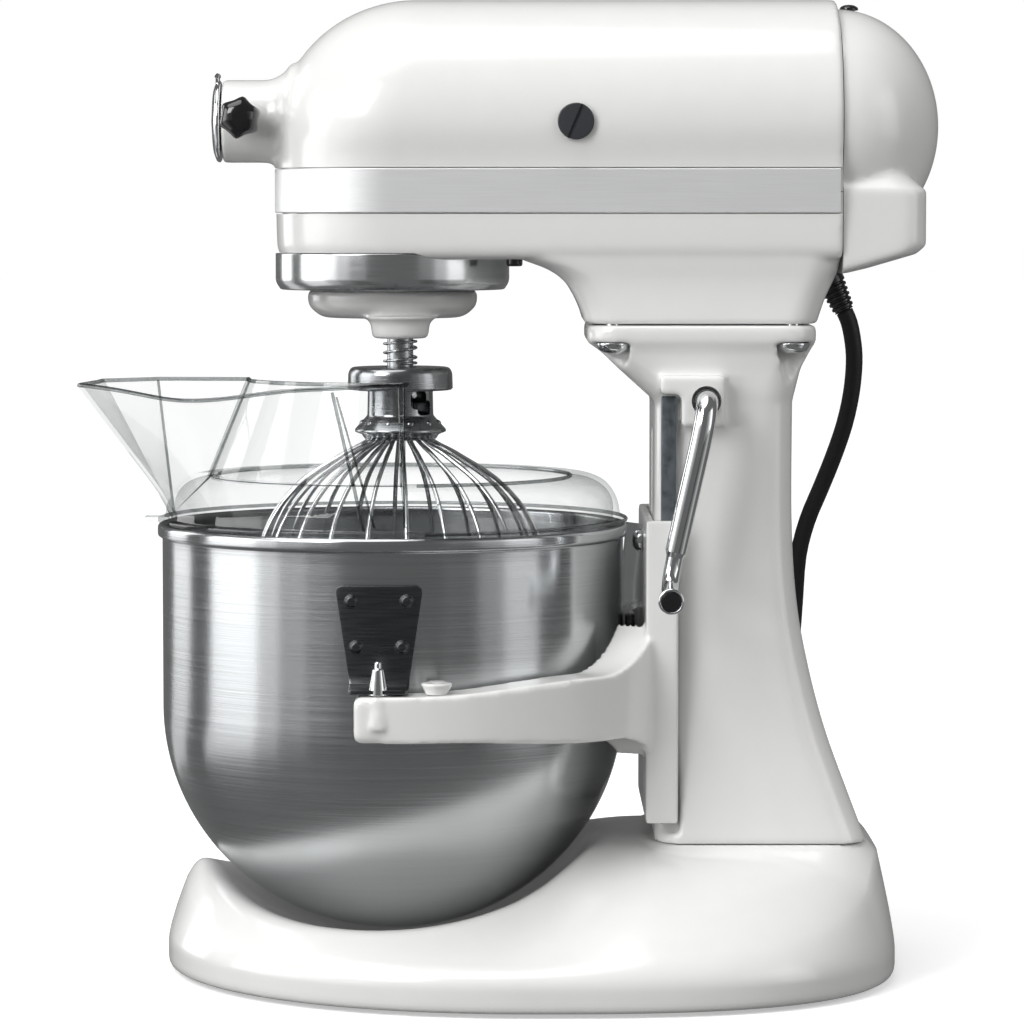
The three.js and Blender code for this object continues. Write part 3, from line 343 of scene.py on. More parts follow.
def sweep(name, line, section, closed=False):
    """Carries a flat section along a line without twisting it; section pairs are across and up."""
    line = [Vector(p) for p in line]
    count = len(line)
    side = None
    rings = []
    for i, here in enumerate(line):
        if closed:
            forward = line[(i + 1) % count] - line[i - 1]
        else:
            forward = line[min(count - 1, i + 1)] - line[max(0, i - 1)]
        forward.normalize()
        if side is None:
            hint = Vector((0, 0, 1)) if abs(forward.z) < 0.9 else Vector((1, 0, 0))
            side = forward.cross(hint)
        side = (side - forward * side.dot(forward)).normalized()
        up = side.cross(forward)
        rings.append([tuple(here + side * a + up * b) for a, b in section])
    return loft(name, rings, closed_path=closed)


def circle(radius, sides=20):
    angles = [2 * math.pi * i / sides for i in range(sides)]
    return [(radius * math.cos(a), radius * math.sin(a)) for a in angles]


def apply_modifiers(obj):
    graph = bpy.context.evaluated_depsgraph_get()
    mesh = bpy.data.meshes.new_from_object(obj.evaluated_get(graph))
    obj.modifiers.clear()
    obj.data = mesh
    return obj


def join(name, objects):
    """One mesh object from several, each keeping its own closed skin and finish."""
    finishes = []
    work = bmesh.new()
    for obj in objects:
        first = len(work.faces)
        work.from_mesh(obj.data)
        own = list(obj.data.materials)
        finishes += [material for material in own if material not in finishes]
        work.faces.ensure_lookup_table()
        for face in work.faces[first:]:
            if own:
                face.material_index = finishes.index(own[face.material_index])
    mesh = bpy.data.meshes.new(name)
    work.to_mesh(mesh)
    work.free()
    for material in finishes:
        mesh.materials.append(material)
    for obj in objects:
        bpy.data.objects.remove(obj)
    joined = bpy.data.objects.new(name, mesh)
    scene.collection.objects.link(joined)
    return joined


def combine(obj, others, operation="DIFFERENCE"):
    for other in others:
        modifier = obj.modifiers.new("combine", "BOOLEAN")
        modifier.operation = operation
        modifier.object = other
        modifier.solver = "EXACT"
        apply_modifiers(obj)
        bpy.data.objects.remove(other)
    return obj


def cast(name, solids, voxel=1.3, smoothing=6):
    """Casting: overlapping solids fused into one skin whose corners are softened."""
    obj = join(name, solids)
    remesh = obj.modifiers.new("fuse", "REMESH")
    remesh.mode = "VOXEL"
    remesh.voxel_size = voxel * MM
    soften = obj.modifiers.new("soften", "SMOOTH")
    soften.factor = 0.5
    soften.iterations = smoothing
    return apply_modifiers(obj)


def trim(obj, point, outward):
    """Cuts away what lies beyond a plane and closes the cut."""
    work = bmesh.new()
    work.from_mesh(obj.data)
    everything = work.verts[:] + work.edges[:] + work.faces[:]
    bmesh.ops.bisect_plane(work, geom=everything, dist=1e-7, plane_co=to_frame(point),
                           plane_no=outward, clear_outer=True)
    rim = [edge for edge in work.edges if edge.is_boundary]
    bmesh.ops.holes_fill(work, edges=rim)
    bmesh.ops.recalc_face_normals(work, faces=work.faces)
    work.to_mesh(obj.data)
    work.free()
    return obj


def bevel(obj, width, segments=3, angle=35):
    modifier = obj.modifiers.new("edges", "BEVEL")
    modifier.width = width * MM
    modifier.segments = segments
    modifier.limit_method = "ANGLE"
    modifier.angle_limit = math.radians(angle)
    modifier.use_clamp_overlap = True
    return apply_modifiers(obj)


def finish_piece(obj, material, body, slot, *nodes, sharp=38):
    """Gives a piece its finish, its body and the CAD nodes that it stands for."""
    if not obj.data.materials:
        obj.data.materials.append(material)
    obj.data.shade_smooth()
    obj.data.set_sharp_from_angle(angle=math.radians(sharp))
    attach(obj, body)
    if nodes:
        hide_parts(*nodes)
    return obj


def smooth_step(low, high, value):
    t = min(1, max(0, (value - low) / (high - low)))
    return t * t * (3 - 2 * t)


def smooth_min(a, b, width):
    h = min(1, max(0, 0.5 + 0.5 * (b - a) / width))
    return b + (a - b) * h - width * h * (1 - h)


def filled_rows(rows, per_span):
    """Rows of numbers filled in by a smooth curve through them."""
    wide = [tuple(row) + (0,) * (4 - len(row)) for row in rows]
    return [tuple(p) for p in catmull([Vector(row) for row in wide], per_span)]


# ---------------------------------------------------------------- mains cord and plug

CORD_R = 3.75
RELIEF_POINT = Vector((0, 140.5, 293))
RELIEF_DIRECTION = Vector((0, 0.42, -0.907)).normalized()
CORD_START = 10.4
COIL_CENTRE = Vector((-203, 66))
COIL_RADII = (44.5, 37.0)
COIL_TOP_RADIUS = 40.75
COIL_STEPS = 24
COIL_TURNS = 2.86
PLUG_AT = Vector((-241, 28, FLOOR_Z + 18))

# From the strain relief, down behind the column and over the base to where the coil starts.
CORD_ROUTE = [
    tuple(RELIEF_POINT + RELIEF_DIRECTION * CORD_START),
    (-0.2, 147, 278.4), (-0.7, 148.7, 270), (-1.6, 149.3, 261), (-3.5, 148.3, 248),
    (-7, 145.6, 234), (-12, 141.2, 219.5), (-18, 136, 205), (-24.5, 130.7, 190.5),
    (-32, 127.3, 174), (-42.5, 126.5, 152), (-51, 125.5, 128), (-58, 124.8, 104),
    (-66, 124, 82), (-76, 123, 64.5), (-88, 121, 50.5), (-101, 118.5, 40), (-112, 116.2, 31.5),
    (-122, 114.2, 23.5), (-132, 112.8, 14.5), (-142, 111.8, 7), (-153, 111, 3),
    (-164, 110.5, 1.85), (-174.6, 110.5, 1.75), (-190, 110.5, 1.75),
]


def coil_points():
    """Turns on the floor from the outer radius inwards, then one more lying on top of them."""
    outer, inner = COIL_RADII
    low = FLOOR_Z + CORD_R
    high = low + 2 * CORD_R * 0.87 + 0.4
    points = []
    for k in range(round(COIL_TURNS * COIL_STEPS) + 1):
        turn = k / COIL_STEPS
        if turn < 1:
            radius = outer - 0.8 * turn * (outer - inner) * smooth_step(0.55, 1, turn)
        elif turn < 1.75:
            radius = inner + 0.2 * (outer - inner) * (1 - smooth_step(1, 1.2, turn))
        else:
            radius = inner + (COIL_TOP_RADIUS - inner) * smooth_step(1.75, 2.0, turn)
        height = low + (high - low) * smooth_step(1.62, 1.9, turn)
        angle = math.pi / 2 + 2 * math.pi * turn
        x = COIL_CENTRE.x + radius * math.cos(angle)
        y = COIL_CENTRE.y + radius * math.sin(angle)
        points.append((x, y, height))
    return points


def cord_line():
    coil = coil_points()
    tail = PLUG_AT + Vector((0, -4, 0))
    lead = [tuple(Vector(coil[-1]).lerp(tail, share)) for share in (0.35, 0.7)]
    return CORD_ROUTE + coil + lead + [tuple(tail)]


def make_cord():
    line = catmull(cord_line(), 3)
    data = bpy.data.curves.new("mains_cord", "CURVE")
    data.dimensions = "3D"
    spline = data.splines.new("POLY")
    spline.points.add(len(line) - 1)
    for point, place in zip(spline.points, line):
        point.co = (*to_frame(place), 1)
    data.bevel_depth = CORD_R * MM
    data.bevel_resolution = 6
    data.use_fill_caps = True
    data.materials.append(RUBBER)
    obj = bpy.data.objects.new("mains_cord", data)
    scene.collection.objects.link(obj)
    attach(obj, "stand")
    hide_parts("power_cord", "cord_coil")
    length = sum((b - a).length for a, b in zip(line, line[1:])) * MM
    return obj, length


def make_plug():
    """Round two-pin plug with a tapered tail and grip ridges."""
    outline = [(0, 0), (5, 0), (7.2, 17), (8.4, 24), (17.4, 31, 4), (17.4, 48, 1.5), (15.4, 50, 1),
               (0, 50)]
    body = revolve("plug_body", rounded(outline, 1.2), PLUG_AT, (0, -1, 0), 64)
    pieces = [finish_piece(body, BLACK, "stand", "black", "plug")]
    pin_outline = rounded([(0, 0), (2.4, 0), (2.4, 18.5, 1.2), (0, 18.5)], 1.0)
    for side in (-1, 1):
        start = PLUG_AT + Vector((side * 9.5, -49.5, 0))
        pin = revolve(f"plug_part_{len(pieces)}", pin_outline, start, (0, -1, 0), 24)
        pieces.append(finish_piece(pin, CHROME, "stand", "black"))
    for k in range(4):
        wide = 8.3 + k * 0.25
        hoop = rounded([(7, -0.9), (wide, -0.9), (wide, 0.9), (7, 0.9)], 0.5, True)
        place = PLUG_AT + Vector((0, -8 - 3.6 * k, 0))
        ridge = revolve(f"plug_part_{len(pieces)}", hoop, place, (0, -1, 0), 48, closed=True)
        pieces.append(finish_piece(ridge, BLACK, "stand", "black"))
    return pieces


def make_strain_relief():
    """Tapered sleeve with bending ribs where the cord leaves the cover."""
    outline = [(0, -14), (6.2, -14, 0.5)]
    for k in range(6):
        at = -4 + 2.3 * k
        wide = 6.1 - 0.24 * k
        outline += [(wide, at, 0.3), (wide, at + 1.2, 0.3), (wide - 0.9, at + 1.5, 0.2),
                    (wide - 0.9, at + 2.1, 0.2)]
    outline += [(4.5, 10, 0.4), (0, 10)]
    sleeve = revolve("strain_relief_sleeve", rounded(outline, 0.3, steps=3), RELIEF_POINT,
                     RELIEF_DIRECTION, 48)
    return finish_piece(sleeve, BLACK, "stand", "black", "strain_relief")


cord_object, cord_length = make_cord()
plug_pieces = make_plug()
relief = make_strain_relief()


# ---------------------------------------------------------------- studio

def stage_light(name, kind, energy, location, target, size=None, angle=None):
    data = bpy.data.lights.new(name, kind)
    data.energy = energy
    if size:
        data.shape = "RECTANGLE"
        data.size, data.size_y = size
    if angle:
        data.angle = math.radians(angle)
    lamp = bpy.data.objects.new(name, data)
    scene.collection.objects.link(lamp)
    lamp.location = location
    lamp.rotation_euler = (Vector(target) - Vector(location)).to_track_quat("-Z", "Y").to_euler()
    return lamp


def by_ray(material, camera, glossy, other):
    """Level that depends on whether the camera, a reflection or soft light looks at it."""
    nodes, links = material.node_tree.nodes, material.node_tree.links
    path = nodes.new("ShaderNodeLightPath")
    level = None
    for flag, value in (("Is Glossy Ray", glossy), ("Is Camera Ray", camera)):
        mix = nodes.new("ShaderNodeMix")
        mix.inputs["A"].default_value = other
        mix.inputs["B"].default_value = value
        if level:
            links.new(level, mix.inputs["A"])
        links.new(path.outputs[flag], mix.inputs["Factor"])
        level = mix.outputs["Result"]
    return level


def glow_material(name, strength):
    material, nodes, links = bare_material(name)
    glow = nodes.new("ShaderNodeEmission")
    glow.inputs["Strength"].default_value = strength
    links.new(glow.outputs["Emission"], nodes["Material Output"].inputs["Surface"])
    return material


def floor_material():
    """Paper that the camera sees as white with soft shadows and reflections see as grey."""
    material, nodes, links = bare_material("floor_paper")
    paper = nodes.new("ShaderNodeBsdfDiffuse")
    paper.inputs["Color"].default_value = (0.9, 0.9, 0.9, 1)
    glow = nodes.new("ShaderNodeEmission")
    links.new(by_ray(material, 0.36, 0.15, 0.2), glow.inputs["Strength"])
    seen = nodes.new("ShaderNodeAddShader")
    links.new(paper.outputs["BSDF"], seen.inputs[0])
    links.new(glow.outputs["Emission"], seen.inputs[1])
    choice = nodes.new("ShaderNodeMixShader")
    links.new(by_ray(material, 1, 0, 0), choice.inputs["Fac"])
    links.new(glow.outputs["Emission"], choice.inputs[1])
    links.new(seen.outputs["Shader"], choice.inputs[2])
    links.new(choice.outputs["Shader"], nodes["Material Output"].inputs["Surface"])
    return material


def stage_strip(name, first, last, edges, strength):
    """Strip round the mixer between two (radius, height) edges, seen only in reflections."""
    steps = 24
    points = [compass(first + (last - first) * k / steps, radius, z, 0)
              for k in range(steps + 1) for radius, z in edges]
    faces = [(2 * k, 2 * k + 2, 2 * k + 3, 2 * k + 1) for k in range(steps)]
    strip = new_object(name, points, faces)
    strip.data.materials.append(glow_material(name, strength))
    strip.visible_camera = False
    strip.visible_diffuse = False
    strip.visible_shadow = False
    strip.visible_transmission = False


def make_studio():
    scene.view_settings.view_transform = "Standard"
    world = bpy.data.worlds.new("studio")
    scene.world = world
    world.use_nodes = True
    background = world.node_tree.nodes["Background"]
    background.inputs["Color"].default_value = (1, 1, 1, 1)
    world.node_tree.links.new(by_ray(world, 1, 0.15, 0.33), background.inputs["Strength"])
    span = 20000
    floor = new_object("floor", [(-span, -span, FLOOR_Z), (span, -span, FLOOR_Z),
                                 (span, span, FLOOR_Z), (-span, span, FLOOR_Z)], [(0, 1, 2, 3)])
    floor.data.materials.append(floor_material())
    stage_light("sky", "SUN", 1.45, (0.3, -0.6, 2), (0, 0, 0.1), angle=50)
    stage_light("key", "AREA", 30, (1.5, -1.5, 1.5), (0, -0.05, 0.25), size=(1.1, 1.1))
    fills = [
        stage_light("front_fill", "AREA", 9, (1.3, -1.6, 0.35), (0, -0.05, 0.25), size=(0.8, 0.5)),
        stage_light("rear_fill", "AREA", 10, (1.0, 1.7, 1.2), (0, 0.1, 0.25), size=(0.9, 0.9)),
    ]
    for fill in fills:
        fill.visible_glossy = False
    upright = ((CARD_REACH, -1), (CARD_REACH, CARD_TOP))
    flat = ((WEDGE_START, FLOOR_Z + 0.5), (CARD_REACH, FLOOR_Z + 0.5))
    for number, (first, last, level) in enumerate(REFLECTED_CARDS, 1):
        stage_strip(f"card_{number}", first, last, upright, level)
        stage_strip(f"wedge_{number}", first, last, flat, level * WEDGE_SHARE)


CARD_REACH = 3000
CARD_TOP = 1900
WEDGE_START = 420
WEDGE_SHARE = 0.3
# Start and end angle and brightness of each upright card and of the floor wedge in front of it.
REFLECTED_CARDS = [
    (-136, -116, 2.6),
    (-98, -68, 3.3),
    (-68, -56, 1.7),
    (-56, -42, 0.75),
    (-42, -25, 0.36),
    (26, 42, 0.3),
    (42, 56, 0.7),
    (56, 76, 1.5),
]

make_studio()


# ---------------------------------------------------------------- base and feet

BASE_HALF = 139.5
BASE_CENTRE_Y = 8
BASE_LENGTH = 158.5
BASE_EDGE = 16
BASE_CROWN = 57.4
BASE_WALL = 5
EDGE_ROUND = 7
FOOT_R = 9
PAD_R = 11.5
FEET = [tuple(middle(f"foot_{i + 1}")[:2]) for i in range(5)]


def base_rim(angle):
    """Unit outline of the base: a soft front and a squarer rear."""
    power = 2.1 if math.sin(angle) < 0 else 2.8
    c, s = math.cos(angle), math.sin(angle)
    x = math.copysign(abs(c) ** (2 / power), c)
    y = math.copysign(abs(s) ** (2 / power), s)
    return x, y


def base_half_width(y):
    power = 2.1 if y < BASE_CENTRE_Y else 2.8
    t = min(0.999, abs(y - BASE_CENTRE_Y) / BASE_LENGTH)
    return BASE_HALF * (1 - t ** power) ** (1 / power)


def outside_pedestal(x, y):
    half, front, rear, corner = 57, 59, 152.5, 22
    dx = max(0, abs(x) - half + corner)
    dy = max(0, abs(y - (front + rear) / 2) - (rear - front) / 2 + corner)
    return max(0, math.hypot(dx, dy) - corner)


def base_top(x, y):
    """Top skin: a crown, a pedestal under the column and a dish under the bowl."""
    t = abs(y - BASE_CENTRE_Y) / BASE_LENGTH
    along = 1 - min(1, t) ** (13 if y < BASE_CENTRE_Y else 30)
    across_power = 1.2 + 1.8 * smooth_step(0, 60, y)
    across = 1 - min(1, abs(x) / base_half_width(y)) ** across_power
    crown = BASE_EDGE + (BASE_CROWN - BASE_EDGE) * along * max(0, across)
    away = outside_pedestal(x, y)
    pedestal = BASE_CROWN - 0.9 * away - 0.03 * away * away
    hill = min(BASE_CROWN, -smooth_min(-crown, -pedestal, 2.5))
    inside = 1 - (x / 161) ** 2 - ((y - BOWL_Y) / 105.5) ** 2
    if inside <= 0:
        return hill
    width = 16 - 9 * smooth_step(-140, -60, y)
    return smooth_min(hill, 115 - 106.5 * math.sqrt(inside), width)


def pad_top(x, y):
    """A foot pad stops inside the skin, below its lowest point over the whole pad."""
    angles = [2 * math.pi * k / 12 for k in range(12)]
    return min(base_top(x + PAD_R * math.cos(a), y + PAD_R * math.sin(a)) for a in angles) - 2


def base_ring(scale, height, inset=0):
    """One ring of the base; height is a number or a function of place."""
    ring = []
    around = 240
    for i in range(around):
        ux, uy = base_rim(2 * math.pi * i / around)
        x = scale * ux * (BASE_HALF - inset)
        y = BASE_CENTRE_Y + scale * uy * (BASE_LENGTH - inset)
        ring.append((x, y, height(x, y) if callable(height) else height))
    return ring


def base_edge_rings():
    """The side wall and the curve that carries it into the top skin."""
    rings = [base_ring(s, z) for s, z in ((0.988, 0), (0.995, 0.6), (0.9985, 1.6), (1, 3.2))]
    rings += [base_ring(1, z) for z in (5, 7, BASE_EDGE - EDGE_ROUND)]
    inner_scale = 1 - EDGE_ROUND / BASE_HALF
    goal = base_ring(inner_scale, base_top)
    rim = base_ring(1, BASE_EDGE)
    steps = 10
    for k in range(1, steps + 1):
        t = k / steps
        ring = []
        for outer, inner in zip(rim, goal):
            flat = Vector(outer[:2]).lerp(Vector(inner[:2]), t * t)
            start = BASE_EDGE - EDGE_ROUND
            height = start * (1 - t) ** 2 + BASE_EDGE * 2 * t * (1 - t) + inner[2] * t * t
            ring.append((flat.x, flat.y, height))
        rings.append(ring)
    return rings, inner_scale


def make_base():
    def under(x, y):
        return max(2.5, base_top(x, y) - BASE_WALL)

    rings = [base_ring(k / 40 + 0.002, under, BASE_WALL) for k in range(40)]
    rings.append(base_ring(1, 0, BASE_WALL))
    edge, inner_scale = base_edge_rings()
    rings += edge
    steps = 110
    for k in range(1, steps + 1):
        rings.append(base_ring(inner_scale * (1 - k / steps) + 0.002, base_top))
    base = loft("base_casting", rings)
    pads = [rod("pad", (x, y, 0), (x, y, pad_top(x, y)), PAD_R) for x, y in FEET]
    combine(base, pads, "UNION")
    seats = [rod("seat", (x, y, -1), (x, y, 3), FOOT_R + 0.4) for x, y in FEET]
    combine(base, seats)
    finish_piece(base, ENAMEL, "stand", "enamel", "base", sharp=50)


def make_feet():
    outline = rounded([(0, FLOOR_Z + 0.5), (5, FLOOR_Z + 0.5), (5.6, FLOOR_Z, 0.3),
                       (FOOT_R, FLOOR_Z, 0.8), (FOOT_R, 2.6, 0.4), (0, 2.6)], 0.3)
    for i, (x, y) in enumerate(FEET):
        foot = revolve(f"rubber_foot_{i + 1}", outline, (x, y, 0))
        finish_piece(foot, RUBBER, "stand", "feet", f"foot_{i + 1}")


make_base()
make_feet()


# ---------------------------------------------------------------- column and rails

COLUMN_CORNER = 14
RAIL_Y = (63.3, 69.7)
RAIL_Z = (66, 248.7)
LEVER_Y = 82.3
LEVER_Z = 247
SCREWS = [(45, 43), (-45, 43), (45, 119.6), (-45, 119.6)]

# Height, half width, front and rear: the waisted part, then the part that flares to the flange.
COLUMN_WAIST = [(57.7, 56, 61, 152), (77, 52.5, 61, 144.7), (104, 49.5, 61, 134.9),
                (131, 48, 61, 127.6), (160, 48, 61, 122.3), (195, 48, 61, 120), (246, 48, 61, 120)]
COLUMN_FLARE = [(260, 49, 45.5, 123.4), (267, 50, 38.3, 127), (270.4, 51.2, 33.6, 129),
                (271.6, 52, 32, 129.8), (277.4, 52, 32, 129.8), (278.7, 51.2, 32.8, 129)]


def rounded_section(half, front, rear, corner, z, per_corner=14):
    points = []
    centres = [(half - corner, rear - corner), (corner - half, rear - corner),
               (corner - half, front + corner), (half - corner, front + corner)]
    for quarter, (cx, cy) in enumerate(centres):
        for i in range(per_corner):
            angle = math.pi / 2 * (quarter + i / (per_corner - 1))
            points.append((cx + corner * math.cos(angle), cy + corner * math.sin(angle), z))
    return points


def make_column():
    rows = filled_rows(COLUMN_WAIST, 8) + COLUMN_FLARE
    shell = loft("column_body", [rounded_section(half, front, rear, COLUMN_CORNER, z)
                                 for z, half, front, rear in rows])
    cuts = [block("slot", (-7.5, 7.5), (50, 84), (96, 232))]
    for side in (-1, 1):
        sides = sorted((side * 48.2, side * 72))
        cuts.append(block("seat", sides, (50, 71.4), (62, 249)))
    for x, y in SCREWS:
        cuts.append(rod("pocket", (x * 1.02, y, 254), (x * 1.02, y, 271.5), 3, 8.8))
    combine(shell, cuts)
    parts = [shell, block("boss", (40, 57), (71.8, 90), (236, 257.6)),
             block("boss_top", (40, 57), (62.8, 76), (249.6, 257.6))]
    column = cast("column_casting", parts, 1.25, 5)
    bore = rod("bore", (50, LEVER_Y, LEVER_Z), (62, LEVER_Y, LEVER_Z), 6.3)
    combine(column, [bore])
    finish_piece(column, ENAMEL, "stand", "enamel", "column", sharp=50)


def make_rails():
    for side, label in ((-1, "left"), (1, "right")):
        bar = block(f"rail_{label}", sorted((side * 48.5, side * 51.5)), RAIL_Y, RAIL_Z)
        bevel(bar, 0.5, 3)
        finish_piece(bar, ZINC, "stand", "rails", f"guide_rail_{label}")


make_column()
make_rails()


# ---------------------------------------------------------------- head

HEAD_HALF = 52
HEAD_REAR = 140.2
BAND_Z = (326, 345.7)
SEAM_Z = 335.5
BAND_RECESS = 3
CROWN_Z = 363
CROWN_RISE = 55.4
HUB_R = 17.9
HUB_FRONT = -125.6
KNOB = (-116.4, 367)
NECK = [(309, 2, 139.6, 50), (306.6, 4, 139.6, 50), (302.4, 15, 139.2, 49.5),
        (297.5, 22, 137.2, 49), (291, 26.5, 134.2, 49), (284, 29.7, 131.6, 49.5),
        (279.2, 31, 130.2, 50)]


def head_outline(half, front, arc_start, rear, z, steps=56):
    """Straight sides and a half-round nose, seen from above."""
    points = [(half, rear, z)]
    for i in range(steps + 1):
        angle = math.pi * i / steps
        y = arc_start - (arc_start - front) * math.sin(angle)
        points.append((half * math.cos(angle), y, z))
    points.append((-half, rear, z))
    return points


def head_section(z, inset=0.0, rear=HEAD_REAR):
    up = min(1, max(0, (z - CROWN_Z) / CROWN_RISE))
    half = HEAD_HALF + 2 * smooth_step(BAND_Z[1], CROWN_Z, z)
    if z > CROWN_Z:
        half = 54 * math.sqrt(1 - up * up)
    half = max(2, half - inset)
    rise = min(1, max(0, (z - 360) / 58.4))
    front = -102.7
    if z > 360:
        front = -41 - 61.5 * math.sqrt(1 - rise * rise)
    arc_start = BOWL_Y + 11 * min(1, max(0, (z - BAND_Z[1]) / 50))
    return head_outline(half, min(front + inset, arc_start - 2), arc_start, rear, z)


def recess_wall(name, low, high):
    """Inset wall behind the trim band."""
    return loft(name, [head_section(z, BAND_RECESS) for z in (low, high)])


def hub_barrel():
    """Hub for attachments, flaring where it grows out of the nose."""
    flare = 13
    outline = [(0, HUB_FRONT), (HUB_R, HUB_FRONT, 0.6), (HUB_R, -107.5)]
    for k in range(1, 9):
        angle = math.radians(8 * k)
        outline.append((HUB_R + flare * (1 - math.cos(angle)), -107.5 + flare * math.sin(angle)))
    outline += [(26, -80), (0, -80)]
    return revolve("hub", rounded(outline, 0.4), (0, 0, MOTOR_Z), (0, 1, 0))


def make_motor_housing():
    steps = 34
    levels = [330, 340, 347, 351, 355, 359]
    levels += [CROWN_Z + CROWN_RISE * math.sin(math.radians(89.4 * k / steps))
               for k in range(steps + 1)]
    shell = loft("shell", [head_section(z) for z in levels])
    housing = cast("motor_shell", [shell, hub_barrel()], 1.2, 9)
    trim(housing, (0, 0, BAND_Z[1] + 0.05), (0, 0, -1))
    front = rod("face", (0, HUB_FRONT - 9, MOTOR_Z), (0, HUB_FRONT + 0.25, MOTOR_Z), 30)
    bore = rod("bore", (0, HUB_FRONT - 2, MOTOR_Z), (0, -80, MOTOR_Z), 13)
    knob_hole = rod("hole", (10, KNOB[0], KNOB[1]), (24, KNOB[0], KNOB[1]), 3.2)
    combine(housing, [front, bore, knob_hole])
    wall = recess_wall("wall", SEAM_Z, BAND_Z[1] + 1)
    housing = join("motor_shell", [housing, wall])
    finish_piece(housing, ENAMEL, "stand", "enamel", "motor_housing", sharp=50)


def make_gear_case():
    lower = [(334, 0.3), (326, 0.3), (318, 0.45), (312, 0.7), (309.4, 1.3), (307.6, 2.8),
             (306.6, 5.5)]
    case = loft("case", [head_section(z, inset) for z, inset in lower])
    rows = filled_rows(NECK, 6)
    neck = loft("neck", [rounded_section(half, front, rear, COLUMN_CORNER, z)
                         for z, front, rear, half in rows])
    body = cast("gear_case_shell", [case, neck], 1.2, 6)
    trim(body, (0, 0, BAND_Z[0] - 0.05), (0, 0, 1))
    seat = rod("seat", (0, BOWL_Y, 296), (0, BOWL_Y, 309.3), 51.6, segments=128)
    shaft = rod("shaft", (0, BOWL_Y, 296), (0, BOWL_Y, 320), 9)
    button = rod("button", (37, 1, 300), (37, 1, 318), 4)
    slot = block("slot", (-60, -42), (42, 95), (318.5, 323.5))
    combine(body, [seat, shaft, button, slot])
    wall = recess_wall("wall", BAND_Z[0] - 1, SEAM_Z - 0.3)
    body = join("gear_case_shell", [body, wall])
    finish_piece(body, ENAMEL, "stand", "enamel", "gear_case", sharp=50)


def ellipsoid(name, centre, radii, rows=48, segments=96):
    rings = []
    for k in range(rows + 1):
        lift = math.pi * (k / rows - 0.5)
        spread = max(1e-4, math.cos(lift))
        ring = []
        for i in range(segments):
            turn = 2 * math.pi * i / segments
            ring.append((centre[0] + radii[0] * spread * math.cos(turn),
                         centre[1] + radii[1] * spread * math.sin(turn),
                         centre[2] + radii[2] * math.sin(lift)))
        rings.append(ring)
    return loft(name, rings)


def make_rear_cover():
    start = HEAD_REAR + 0.3
    dome = ellipsoid("dome", (0, start, 363.4), (50.8, 44.4, 51))
    back = 176.5
    stations = [(300.6, 142, 0), (303, 152, 0), (306.5, 164, 0), (309, back - 4, 0),
                (312.5, back, 0), (336, back, 0), (350, back - 16, 12)]
    lower = loft("lower", [rounded_section(48.5 - narrow, start - 12, rear, 11, z)
                           for z, rear, narrow in stations])
    cover = cast("rear_cover_shell", [dome, lower], 1.2, 8)
    trim(cover, (0, start, 0), (0, -1, 0))
    finish_piece(cover, ENAMEL, "stand", "enamel", "rear_cover", sharp=50)


def make_trim_band():
    low, high = BAND_Z[0] + 0.4, BAND_Z[1] - 0.35
    rear = HEAD_REAR - 1.2
    outer = head_outline(HEAD_HALF + 0.2, -103, BOWL_Y, rear, 0, 96)
    inner = head_outline(HEAD_HALF - BAND_RECESS + 0.4, -100.1, BOWL_Y, rear, 0, 96)
    lip = 0.45
    sections = []
    for (ox, oy, _), (ix, iy, _) in zip(outer, inner):
        inward = (Vector((ix, iy)) - Vector((ox, oy))).normalized() * lip
        sections.append([(ix, iy, low), (ox + inward.x, oy + inward.y, low), (ox, oy, low + lip),
                         (ox, oy, high - lip), (ox + inward.x, oy + inward.y, high), (ix, iy, high)])
    band = loft("trim_strip", sections)
    finish_piece(band, BAND, "stand", "band", "trim_band")


make_motor_housing()
make_gear_case()
make_rear_cover()
make_trim_band()


# ---------------------------------------------------------------- fasteners and caps

def make_brush_caps():
    outline = rounded([(0, 54), (7.4, 54), (7.8, 54.6, 0.3), (7.6, 56, 0.5), (0, 56)], 0.3)
    for side, label in ((-1, "left"), (1, "right")):
        cap = revolve(f"brush_holder_cap_{label}", outline, (0, 27, 365), (side, 0, 0), 72)
        groove = block("groove", (-0.8, 0.8), (-9, 9), (-0.8, 0.8))
        groove.data.transform(Matrix.Translation((0, 0, -LIFT * MM)))
        groove.data.transform(Matrix.Rotation(math.radians(67), 4, "X"))
        groove.data.transform(Matrix.Translation(to_frame((side * 56, 27, 365))))
        combine(cap, [groove])
        finish_piece(cap, CAP_GREY, "stand", "caps", f"brush_cap_{label}", sharp=30)


def make_screws():
    dome = [(0, 408), (1.9, 408), (1.9, 413.6), (4.1, 414.0, 0.2), (3.9, 415.2, 0.8), (2.2, 416.2, 1),
            (0, 416.4)]
    screw = revolve("cover_screw_head", rounded(dome, 0.2), (0, 146, 0), segments=48)
    finish_piece(screw, BLACK, "stand", "black", "rear_cover_screw")
    pan = [(0, 266.7), (3.4, 266.9, 1.5), (6.2, 268.3, 1.5), (7, 270.2, 0.8), (7, 271.2, 0.2),
           (2.8, 271.2), (2.8, 289), (0, 289)]
    for i, (x, y) in enumerate(SCREWS):
        screw = revolve(f"pan_screw_{i + 1}", rounded(pan, 0.3), (x, y, 0), segments=64)
        arms = [block("cross", (x - 3, x + 3), (y - 0.6, y + 0.6), (266, 268.4)),
                block("cross", (x - 0.6, x + 0.6), (y - 3, y + 3), (266, 268.4))]
        combine(screw, arms)
        finish_piece(screw, CHROME, "stand", "chrome", f"flange_screw_{i + 1}", sharp=30)


